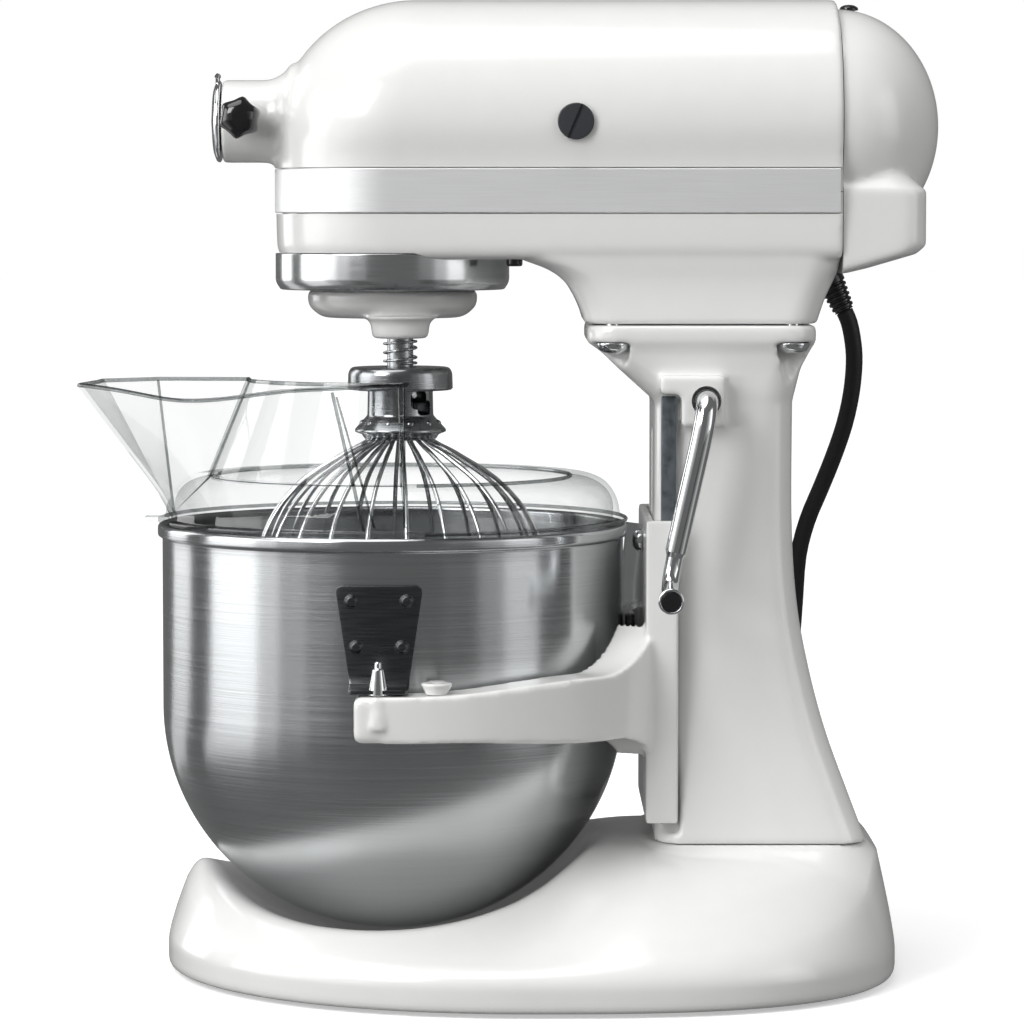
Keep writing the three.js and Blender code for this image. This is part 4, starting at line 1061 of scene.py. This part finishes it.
def make_drip_ring():
    outline = [(46, 294.8, 0.4), (46.8, 293.2, 0.6), (48.6, 293.2, 1.6), (50.8, 296.4, 2.4),
               (50.8, 309, 0.5), (46, 309, 0.3)]
    ring = revolve("drip_guard", rounded(outline, 0.4, True), (0, BOWL_Y, 0), segments=160,
                   closed=True)
    finish_piece(ring, RING_STEEL, "stand", "chrome", "drip_ring")


make_brush_caps()
make_screws()
make_drip_ring()


# ---------------------------------------------------------------- planetary, beater shaft, whisk

def make_planetary():
    dish = [(0, 281), (31, 281, 5), (36.8, 286.4, 5), (36.8, 291.8, 1), (35.4, 293, 0.5), (14, 293),
            (12, 296, 0.6), (0, 296)]
    body = revolve("dish", rounded(dish, 0.6), (0, BOWL_Y, 0), segments=128)
    neck = [(0, 272.6), (11.9, 272.6, 2), (12.5, 277)]
    for k in range(1, 7):
        angle = math.radians(14 * k)
        neck.append((12.5 + 5 * (1 - math.cos(angle)), 277 + 4.8 * math.sin(angle)))
    neck.append((0, 284))
    boss = revolve("neck", rounded(neck, 0.3), (*BEATER, 0), segments=72)
    housing = cast("planetary_dish", [body, boss], 0.8, 5)
    bore = rod("bore", (*BEATER, 270), (*BEATER, 284), 6.2)
    combine(housing, [bore])
    finish_piece(housing, ENAMEL, "planetary", "enamel", "planetary_housing", sharp=50)


def make_beater_shaft():
    outline = rounded([(0, 246), (4.6, 246), (5.6, 247.2, 0.3), (5.6, 253, 0.2), (5.2, 253.6, 0.2),
                       (5.2, 255, 0.2), (5.6, 255.6, 0.2), (5.6, 308.6), (0, 308.6)], 0.3)
    shaft = revolve("beater_spindle", outline, (*BEATER, 0), segments=64)
    across = Vector((math.cos(SLOT_ANGLE), math.sin(SLOT_ANGLE), 0))
    at = Vector((*BEATER, 248.6))
    pin_outline = rounded([(0, 0), (1.6, 0, 0.4), (1.6, 21, 0.4), (0, 21)], 0.3)
    pin = revolve("pin", pin_outline, at - across * 10.5, across, 24)
    shaft = join("beater_spindle", [shaft, pin])
    finish_piece(shaft, DRIVE_STEEL, "beater", "drive_steel", "beater_shaft")


def make_beater_spring():
    line = []
    turns, steps = 3.6, 28
    low, high = 262, 271.4
    for k in range(round(turns * steps) + 1):
        turn = k / steps
        angle = 2 * math.pi * turn
        share = smooth_step(0.15, turns - 0.15, turn)
        line.append((BEATER.x + 6.9 * math.cos(angle), BEATER.y + 6.9 * math.sin(angle),
                     low + (high - low) * share))
    spring = sweep("push_spring", line, circle(0.55, 12))
    finish_piece(spring, DRIVE_STEEL, "beater", "drive_steel", "beater_spring")


def make_whisk_hub():
    outline = [(0, 229.2), (15.2, 229.2, 0.6), (16.6, 231.4, 0.5), (19.7, 232.6, 0.4),
               (19.6, 233.6, 0.4), (14.2, 239.6, 0.8), (14, 250.4, 0.3), (21.8, 250.5, 0.4),
               (22.6, 251.2, 0.4), (22.4, 258, 1.6), (21, 260.3, 1.4), (7.6, 260.6, 0.6), (6.1, 259.6),
               (6.1, 238), (0, 238)]
    hub = revolve("whisk_cap", rounded(outline, 0.4), (*BEATER, 0), segments=96)
    slot = block("slot", (0, 17), (-4.1, 4.1), (242.4, 250.45))
    bevel(slot, 2.4, 5)
    hook = block("slot", (0, 17), (-1, 6.8), (239.9, 246.2))
    bevel(hook, 1.8, 4)
    turn = Matrix.Rotation(SLOT_ANGLE, 4, "Z")
    shift = Matrix.Translation((BEATER.x * MM, BEATER.y * MM, 0))
    for cutter in (slot, hook):
        cutter.data.transform(shift @ turn)
    combine(hub, [slot, hook])
    rivets = []
    for k in range(WIRES):
        angle = 2 * math.pi * (k + 0.5) / WIRES
        out = Vector((math.cos(angle), math.sin(angle), 0))
        at = Vector((*BEATER, 236.4)) + out * 16.6
        head = rounded([(0, -0.6), (1.5, -0.6), (1.3, 0.7, 0.5), (0, 1.1)], 0.4)
        rivets.append(revolve("rivet", head, at, (out + Vector((0, 0, 0.75))).normalized(), 20))
    hub = join("whisk_cap", [hub, *rivets])
    finish_piece(hub, HUB_STEEL, "whisk", "whisk_hub", "whisk_hub", sharp=32)


def whisk_wire(k):
    """One wire loop. Each crosses the axis a little above the one before."""
    bottom = 61 + 1.9 * k
    side = [(12.6, 229.6), (17, 226.8), (26, 222), (44, 210), (57, 193), (64.2, 168), (65.5, 140),
            (60, 108), (45, 82), (24, 66)]
    half = [(r, z if z > 140 else bottom + (z - 60) * (140 - bottom) / 80) for r, z in side]
    loop = half + [(0, bottom)] + [(-r, z) for r, z in reversed(half)]
    angle = math.pi * (k + 0.25) / WIRES
    route = [(BEATER.x + r * math.cos(angle), BEATER.y + r * math.sin(angle), z) for r, z in loop]
    return sweep("wire", catmull(route, 8), circle(0.95, 12))


def make_whisk_wires():
    wires = join("whisk_wire_loops", [whisk_wire(k) for k in range(WIRES)])
    finish_piece(wires, WIRE, "whisk", "whisk_wire", "whisk_wires")


WIRES = 11
SLOT_ANGLE = math.radians(37)
make_planetary()
make_beater_shaft()
make_beater_spring()
make_whisk_hub()
make_whisk_wires()


# ---------------------------------------------------------------- attachment hub

HINGE = (-127.8, 385.6)


def make_hub_cover():
    disc = [(0, -126.05), (16.9, -126.05, 0.3), (17.8, -126.7, 0.4), (17.4, -128, 0.8),
            (14, -129.4, 3), (0, -130.6)]
    cover = revolve("hub_cap", rounded(disc, 0.4), (0, 0, MOTOR_Z), (0, 1, 0), 96)
    ear = block("ear", (-4, 4), (-128.9, -126.9), (381, HINGE[1]))
    bevel(ear, 0.6, 3)
    roll = [(0, -5), (1.2, -5, 0.4), (1.2, 5, 0.4), (0, 5)]
    knuckle = revolve("knuckle", rounded(roll, 0.4), (0, *HINGE), (1, 0, 0), 32)
    cover = join("hub_cap", [cover, ear, knuckle])
    finish_piece(cover, CHROME, "cover", "chrome", "hub_cover")


def knob_ring(radius, depth, x, lobes=6):
    ring = []
    count = 144
    for i in range(count):
        angle = 2 * math.pi * i / count
        r = radius - depth * (0.5 - 0.5 * math.cos(lobes * angle)) ** 0.7
        ring.append((x, KNOB[0] + r * math.cos(angle + 0.35), KNOB[1] + r * math.sin(angle + 0.35)))
    return ring


def make_hub_knob():
    """Lobed knob whose flutes fade out over its domed face."""
    stations = [(23.4, 5.4, 0), (23.6, 7.4, 0.8), (24.6, 8.9, 1.4), (26, 9.2, 1.5), (30, 9.2, 1.5),
                (32.5, 9.0, 1.2), (34.8, 8.2, 0.7), (36.6, 6.8, 0.3), (37.9, 4.8, 0), (38.5, 2.4, 0),
                (38.6, 0.05, 0)]
    smooth = filled_rows(stations, 4)
    head = loft("head", [knob_ring(max(0.05, r), max(0, depth), x) for x, r, depth, _ in smooth])
    neck = rod("neck", (18.2, *KNOB), (25, *KNOB), 4.6, 5.4)
    stem = rod("stem", (13.6, *KNOB), (20, *KNOB), 2.8)
    knob = join("hub_clamp_knob", [head, neck, stem])
    finish_piece(knob, BLACK, "knob", "black", "hub_knob", sharp=45)


make_hub_cover()
make_hub_knob()


# ---------------------------------------------------------------- controls

def make_speed_lever():
    y = middle("speed_lever")[1]
    stem = block("stem", (-58, -43.5), (y - 1.6, y + 1.6), (319.4, 322.6))
    bevel(stem, 0.5, 3)
    plate = block("plate", (-45, -42.6), (y - 7, y + 7), (315, 327))
    bevel(plate, 0.6, 3)
    grip = rounded([(0, 0), (4.6, 0, 1), (6.4, 8.6, 2.4), (0, 11)], 0.6)
    ball = revolve("grip", grip, (-56, y, 321), (-1, 0, 0), 64)
    lever = join("speed_handle", [stem, plate, ball])
    finish_piece(lever, BLACK, "speed_control", "black", "speed_lever")


def make_reset_button():
    x, y, _ = middle("reset_button")
    outline = rounded([(0, 303.9), (2.2, 303.6, 0.6), (3.3, 303.8, 0.5), (3.5, 304.6, 0.3),
                       (3.5, 313.9), (5.2, 313.9), (5.2, 316), (0, 316)], 0.2)
    button = revolve("overload_button", outline, (x, y, 0), segments=48)
    finish_piece(button, BLACK, "reset", "black", "reset_button")


make_speed_lever()
make_reset_button()


# ---------------------------------------------------------------- bowl lift

ARM_TOP = 128.4
ARM_INNER, ARM_OUTER = 106, 125
PLATE_Y = 60.7


def make_lift_lever():
    upper = [(60.2, LEVER_Y, LEVER_Z), (62.6, LEVER_Y, LEVER_Z), (66.6, 82.2, 246.3),
             (70.2, 81.3, 241), (71.5, 79.2, 230), (71.5, 72.9, 202), (71.5, 68.9, 184)]
    lower = [(71.5, 69.6, 187), (71.5, 68.6, 182.6), (72.4, 67.2, 175.4), (76, 66.3, 169.6),
             (84, 66.1, 166.4), (96.6, 66.1, 165.4)]
    grip = sweep("tube", catmull(upper, 10), circle(4.6, 40))
    shoulder = Vector(upper[-1])
    along = (shoulder - Vector(upper[-2])).normalized()
    taper = rod("taper", shoulder - along * 0.5, shoulder + along * 2.4, 4.6, 3.6, 40)
    stub = sweep("stub", catmull(lower, 10), circle(3.6, 32))
    outline = [(0, 0), (4.4, 0, 0.2), (5.5, 0.9, 0.5), (5.5, 2.5, 1.0), (4.5, 2.9, 0.3), (4.2, 2.3, 0.3),
               (0, 2.2)]
    cap = revolve("cap", rounded(outline, 0.3), (95.9, 66.1, 165.4), (1, 0, 0), 64)
    grip = join("tube", [grip, taper, stub])
    lever = join("lift_handle_bar", [grip, cap])
    finish_piece(lever, CHROME, "lever", "chrome", "lift_lever", sharp=40)
    plug = revolve("lift_handle_end", rounded([(0, 0), (4.1, 0), (4.1, 0.7, 0.4), (0, 0.8)], 0.3),
                   (98.0, 66.1, 165.4), (1, 0, 0), 48)
    finish_piece(plug, BLACK, "lever", "black")


def arc_strip(name, inner, outer, first, last, low, high, steps=72):
    """Part of a ring about the bowl's axis whose underside and top follow functions of Y."""
    rings = []
    for k in range(steps + 1):
        degrees = first + (last - first) * k / steps
        y = compass(degrees, (inner + outer) / 2, 0)[1]
        corners = ((inner, low(y)), (outer, low(y)), (outer, high(y)), (inner, high(y)))
        rings.append([compass(degrees, radius, z) for radius, z in corners])
    return loft(name, rings)


def gusset(y, start, reach):
    """Rise of the concave sweep that carries an arm into the carriage plate."""
    t = min(1, max(0, (y - start) / (58.5 - start)))
    return reach * (1 - math.sqrt(1 - t * t))


def arm_low(y):
    return 109.2 - 3.6 * smooth_step(-30, 36, y) - gusset(y, 38, 31)


def arm_high(y):
    return ARM_TOP + 4.6 * smooth_step(-40, 30, y) + gusset(y, 32, 44)


def yoke_arm(side):
    """Straight stretch of one arm with its rounded tip and the rib round the bowl pin."""
    inner, outer = sorted((side * ARM_INNER, side * ARM_OUTER))
    bar = block("bar", (inner, outer), (-65, BOWL_Y + 1), (109.2, ARM_TOP))
    bevel(bar, 3.2, 5)
    rib = rod("rib", (side * 121.4, -55, 115.4), (side * 121.4, -55, ARM_TOP - 0.4), 5.0, 4.4)
    knob = rod("knob", (side * 122.2, -55, 115), (side * 122.2, -55, 122.6), 4.9, 4.2)
    return [bar, rib, knob]


def make_yoke():
    parts = [arc_strip("sweep", ARM_INNER, ARM_OUTER, first, last, arm_low, arm_high)
             for first, last in ((-0.5, 66), (180.5, 114))]
    parts.append(arc_strip("back", ARM_INNER + 1, ARM_OUTER - 1, 58, 122, lambda y: 109.2,
                           lambda y: ARM_TOP))
    for side in (-1, 1):
        parts += yoke_arm(side)
        x = sorted((side * 52.1, side * 56.4))
        parts.append(block("cheek", x, (57.2, 70.8), (66.6, 196)))
    parts.append(block("plate", (-56.2, 56.2), (56.9, PLATE_Y), (66.6, 196)))
    yoke = cast("carriage_yoke", parts, 1.15, 4)
    combine(yoke, [block("run", (-51.9, 51.9), (PLATE_Y, 90), (60, 200))])
    finish_piece(yoke, ENAMEL, "carriage", "enamel", "yoke", sharp=50)


def make_pins_and_locks():
    for side, label in ((-1, "left"), (1, "right")):
        x, y = middle(f"bowl_pin_{label}")[:2]
        top = (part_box(f"bowl_pin_{label}")[1].z / MM) - LIFT
        outline = [(0, ARM_TOP + 0.3), (4.05, ARM_TOP + 0.3, 0.3), (4.0, ARM_TOP + 1.2, 0.5),
                   (2.3, top - 3.6, 0.5), (1.5, top - 3.2, 0.3), (1.4, top - 0.8, 0.5), (0, top)]
        pin = revolve(f"locating_pin_{label}", rounded(outline, 0.3), (x, y, 0), segments=48)
        finish_piece(pin, CHROME, "carriage", "chrome", f"bowl_pin_{label}")
        x, y = side * 115, -31
        disc = [(0, ARM_TOP + 0.3), (4.4, ARM_TOP + 0.3, 0.4), (5.2, 130.6, 1), (6.4, 132.4, 0.7),
                (6.3, 133.4, 0.5), (5, 133.6, 0.5), (0, 133.2)]
        head = revolve("head", rounded(disc, 0.4), (x, y, 0), segments=64)
        nose = block("nose", sorted((x, x - side * 11)), (y - 3.4, y + 3.4), (131.6, 133.4))
        bevel(nose, 0.7, 3)
        lock = join(f"bowl_lock_tab_{label}", [head, nose])
        finish_piece(lock, ENAMEL, f"{label}_lock", "enamel", f"bowl_lock_{label}")


def make_bowl_latch():
    """Spring strip, its bolt and the rubber catch behind the bowl."""
    path = [(0, 55.9, 191), (0, 55.3, 186), (0, 54.6, 179), (0, 53.0, 170), (0, 51.7, 161),
            (0, 51.9, 156.4), (0, 53.4, 153.6)]
    strip = sweep("strip", catmull(path, 8), rounded([(-6, -0.5), (6, -0.5), (6, 0.5), (-6, 0.5)],
                                                     0.35, True, 3))
    bolt_shape = rounded([(0, 0), (5.2, 0, 0.4), (4.9, 2.4, 1.4), (2.6, 4.2, 1), (0, 4.5)], 0.5)
    bolt = revolve("bolt", bolt_shape, (0, 56.8, 183.6), (0, -1, 0), 48)
    latch = join("latch_leaf", [strip, bolt])
    finish_piece(latch, CHROME, "carriage", "chrome", "latch_spring")
    catch = block("latch_pad", (-7, 7), (49.4, 53.6), (137, 152))
    bevel(catch, 1.2, 4)
    finish_piece(catch, BLACK, "carriage", "black", "latch_catch")


make_lift_lever()
make_yoke()
make_pins_and_locks()
make_bowl_latch()


# ---------------------------------------------------------------- bowl and brackets

BOWL_R = 100.5
BOWL_WALL = 1.5
BOWL_BOTTOM = 14.5
BOWL_SHOULDER = 112
BOWL_RIM = 186
PIN_OFFSET = middle("bowl_pin_right")[1] - BOWL_Y


def make_bowl():
    depth = BOWL_SHOULDER - BOWL_BOTTOM
    steps = 40

    def arc(radius, drop, first, last):
        angles = [math.radians(first + (last - first) * k / steps) for k in range(steps + 1)]
        return [(radius * math.sin(a), BOWL_SHOULDER - drop * math.cos(a)) for a in angles]

    outer = arc(BOWL_R, depth, 0, 90) + [(BOWL_R, z) for z in (124, 136, 148, 160, 172)]
    bead = rounded([(BOWL_R, 180), (BOWL_R, BOWL_RIM - 0.3, 0.5), (BOWL_R + 2, BOWL_RIM + 0.6, 1),
                    (BOWL_R + 2, 190.8, 1), (BOWL_R + 0.6, 192, 0.8),
                    (BOWL_R - BOWL_WALL, 191, 0.8), (BOWL_R - BOWL_WALL, 180)], 0.5)
    inner = [(BOWL_R - BOWL_WALL, z) for z in (172, 160, 148, 136, 124)]
    inner += arc(BOWL_R - BOWL_WALL, depth - BOWL_WALL, 90, 0)
    bowl = revolve("bowl_shell", outer + bead + inner, (0, BOWL_Y, 0), segments=192)
    finish_piece(bowl, BOWL_STEEL, "carriage", "bowl_steel", "bowl", sharp=60)


def bracket_sheet(side, label):
    """Bent plate: a ledge, a small radius, then a curved trapezoid that hugs the bowl."""
    path = [(20.6, 130.2, 9.4), (20.2, 130.2, 11.2), (18.8, 130.2, 12.4), (8, 130.2, 12.4),
            (4.6, 130.3, 12.4), (2.4, 131.2, 12.45), (1.35, 133.2, 12.6), (1.2, 136, 12.9),
            (1.2, 169.6, 17.9), (1.2, 171.2, 17.6), (1.2, 172.3, 15.8)]
    columns = 25
    points, faces = [], []
    for out, z, half in path:
        for i in range(columns):
            y = half * (2 * i / (columns - 1) - 1) + PIN_OFFSET
            curve = BOWL_R + 0.6 - math.sqrt((BOWL_R + 0.6) ** 2 - y * y)
            hug = curve * smooth_step(12, 2, out) if out > 2 else curve
            points.append((side * (BOWL_R + 0.7 + out - hug), BOWL_Y + y, z))
    for k in range(len(path) - 1):
        for i in range(columns - 1):
            a = k * columns + i
            faces.append((a, a + 1, a + columns + 1, a + columns))
    sheet = new_object(f"bowl_ear_{label}", points, faces)
    thicken = sheet.modifiers.new("thick", "SOLIDIFY")
    thicken.thickness = 1.7 * MM
    thicken.offset = 0
    apply_modifiers(sheet)
    bevel(sheet, 0.35, 3, 50)
    x, y = middle(f"bowl_pin_{label}")[:2]
    combine(sheet, [rod("hole", (x, y, 124), (x, y, 136), 4.5)])
    return sheet


def make_brackets():
    for side, label in ((-1, "left"), (1, "right")):
        pieces = [bracket_sheet(side, label)]
        for across, z in ((-11.5, 166), (11.5, 166), (-9.5, 147), (9.5, 147)):
            y = across + PIN_OFFSET
            surface_x = math.sqrt((BOWL_R + 0.6) ** 2 - y * y) + 2.0
            dome = rounded([(0, 0), (3.1, 0, 0.2), (3.0, 0.5, 0.3), (2.4, 0.55, 0.3), (1.9, 1.5, 0.5),
                            (0, 1.7)], 0.3)
            head = revolve("rivet", dome, (side * surface_x, BOWL_Y + y, z), (side, 0, 0), 32)
            pieces.append(head)
        bracket = join(f"bowl_ear_{label}", pieces)
        finish_piece(bracket, DARK_STEEL, "carriage", "bracket_steel", f"bowl_bracket_{label}",
                     sharp=35)


make_bowl()
make_brackets()


# ---------------------------------------------------------------- pouring shield

CHUTE_TOP = 254
OPENING_R = 77
# Compass angle about the bowl's axis and the reach of the chute's top edge there.
CHUTE = [(5, 100), (-20, 108), (-45, 122), (-69.4, 142), (-84, 127), (-94, 104)]


def chute_reach(degrees):
    for (a, ra), (b, rb) in zip(CHUTE, CHUTE[1:]):
        if a >= degrees >= b:
            t = (a - degrees) / (a - b)
            return ra + (rb - ra) * t - 3.2 * math.sin(math.pi * t)
    return CHUTE[0][1] if degrees > 0 else CHUTE[-1][1]


def chute_loop(share, inset=0.0):
    """Outline of the chute at a share of its height."""
    first, last = CHUTE[0][0], CHUTE[-1][0]
    steps = 60
    corners = []
    low_outer, low_inner, high_inner = 97, OPENING_R + 2, 62
    for k in range(steps + 1):
        degrees = first + (last - first) * k / steps
        reach = low_outer + (chute_reach(degrees) - low_outer) * share - inset
        dip = 5.6 * math.exp(-((degrees + 44) / 17) ** 2) - 1.6 * smooth_step(-14, 5, degrees)
        corners.append((degrees, reach, 195 + (CHUTE_TOP - dip - 195) * share))
    inner = low_inner + (high_inner - low_inner) * share + inset
    for k in range(steps + 1):
        degrees = last + (first - last) * k / steps
        corners.append((degrees, inner, 212 + (CHUTE_TOP - 212) * share))
    return [compass(*corner) for corner in corners]


def chute_edge(name, first, last, radius=0.75):
    """Thick moulded edge between two (degrees, radius, height) corners of the chute."""
    return rod(name, compass(*first), compass(*last), radius, segments=16)


def make_chute():
    rows = 16
    rings = [chute_loop(k / rows) for k in range(rows + 1)]
    count = len(rings[0])
    points = [p for ring in rings for p in ring]
    faces = []
    for k in range(rows):
        for i in range(count):
            j = (i + 1) % count
            a, b = k * count + i, k * count + j
            faces.append((a, b, b + count, a + count))
    chute = new_object("pouring_chute", points, faces)
    chute.data.materials.append(CLEAR)
    chute.data.materials.append(CLEAR_EDGE_SHADE)
    thicken = chute.modifiers.new("thick", "SOLIDIFY")
    thicken.thickness = 1.8 * MM
    thicken.offset = -1
    # The thickened skin's rim faces take the darker clear finish, painted edge shade.
    thicken.material_offset_rim = 1
    apply_modifiers(chute)
    edges = [sweep("rim", chute_loop(1, 0.9), circle(0.9, 12), closed=True),
             chute_edge("crease", (-5.5, 96.6, 194), (-12.5, 103, 252.4)),
             chute_edge("crease", (-3, 96.6, 196), (-11.5, 102.6, 250.6), 0.5),
             chute_edge("corner", (4.4, 96.4, 196), (4.4, 99.2, 254.6), 0.5),
             chute_edge("corner", (-93.4, 96.4, 195.6), (-93.4, 103, 253.5), 0.6),
             chute_edge("corner", (4, 80, 212), (4, 62.8, 253.4), 0.5),
             chute_edge("corner", (-93, 80, 212), (-93, 62.8, 253.4), 0.5)]
    # The rim and the crease and corner rods take the darker clear finish: real moulded edges, their dark tint
    # painted shade.
    for edge in edges:
        edge.data.materials.append(CLEAR_EDGE_SHADE)
    chute = join("pouring_chute", [chute, *edges])
    finish_piece(chute, CLEAR, "shield", "clear", "pour_chute", sharp=30)


def make_shield_ring():
    outline = [(96, 187.4, 0.4), (98, 187.4, 0.4), (98.2, 192.4, 0.3), (102.4, 192.4, 0.5),
               (102.4, 194.2, 0.5), (99.4, 194.4, 0.6), (98, 203, 4), (93, 210, 4), (86, 213, 3),
               (OPENING_R, 213, 0.5), (OPENING_R, 211.2, 0.5), (85.4, 211.2, 3), (92, 208, 4), (96.2, 202, 4)]
    ring = revolve("shield_ring", rounded(outline, 0.4, True), (0, BOWL_Y, 0), segments=160,
                   closed=True)
    opening = loft("opening", [chute_loop(share, -0.1) for share in (-0.35, 0, 1)])
    combine(ring, [opening])
    tabs = [block("tab", (94, 108), (-44, -31), (192.6, 194.2)),
            block("tab", (-6, 6), (BOWL_Y - 108.6, BOWL_Y - 98), (192.6, 194.2))]
    for tab in tabs:
        bevel(tab, 0.5, 2)
    for piece in [ring, *tabs]:
        piece.data.materials.append(CLEAR)
    edges = []
    # Rods along the opening and the outer lip in the darker clear finish: painted shade drawing the dark edge
    # lines.
    for radius, z, thick in ((OPENING_R + 0.5, 212.2, 0.8), (101.8, 193.4, 0.8)):
        line = [compass(degrees, radius, z) for degrees in range(9, 263, 3)]
        edge = sweep("edge", line, circle(thick, 10))
        edge.data.materials.append(CLEAR_EDGE_SHADE)
        edges.append(edge)
    ring = join("shield_ring", [ring, *tabs, *edges])
    finish_piece(ring, CLEAR, "shield", "clear", "pouring_shield", sharp=35)


make_chute()
make_shield_ring()


# ---------------------------------------------------------------- working parts that stay as CAD

INNER_FINISHES = {
    "ring_gear": DRIVE_STEEL, "motor_stator": COPPER, "bearing_bracket": ZINC,
    "control_board": BOARD, "armature": COPPER, "worm_wheel": BRASS, "center_shaft": DRIVE_STEEL,
    "center_gear": DRIVE_STEEL, "beater_pinion": DRIVE_STEEL, "hub_drive": DRIVE_STEEL,
    "lift_shaft": DRIVE_STEEL, "lift_link": ZINC,
}

for node, material in INNER_FINISHES.items():
    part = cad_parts[node]
    part.data.materials.clear()
    part.data.materials.append(material)
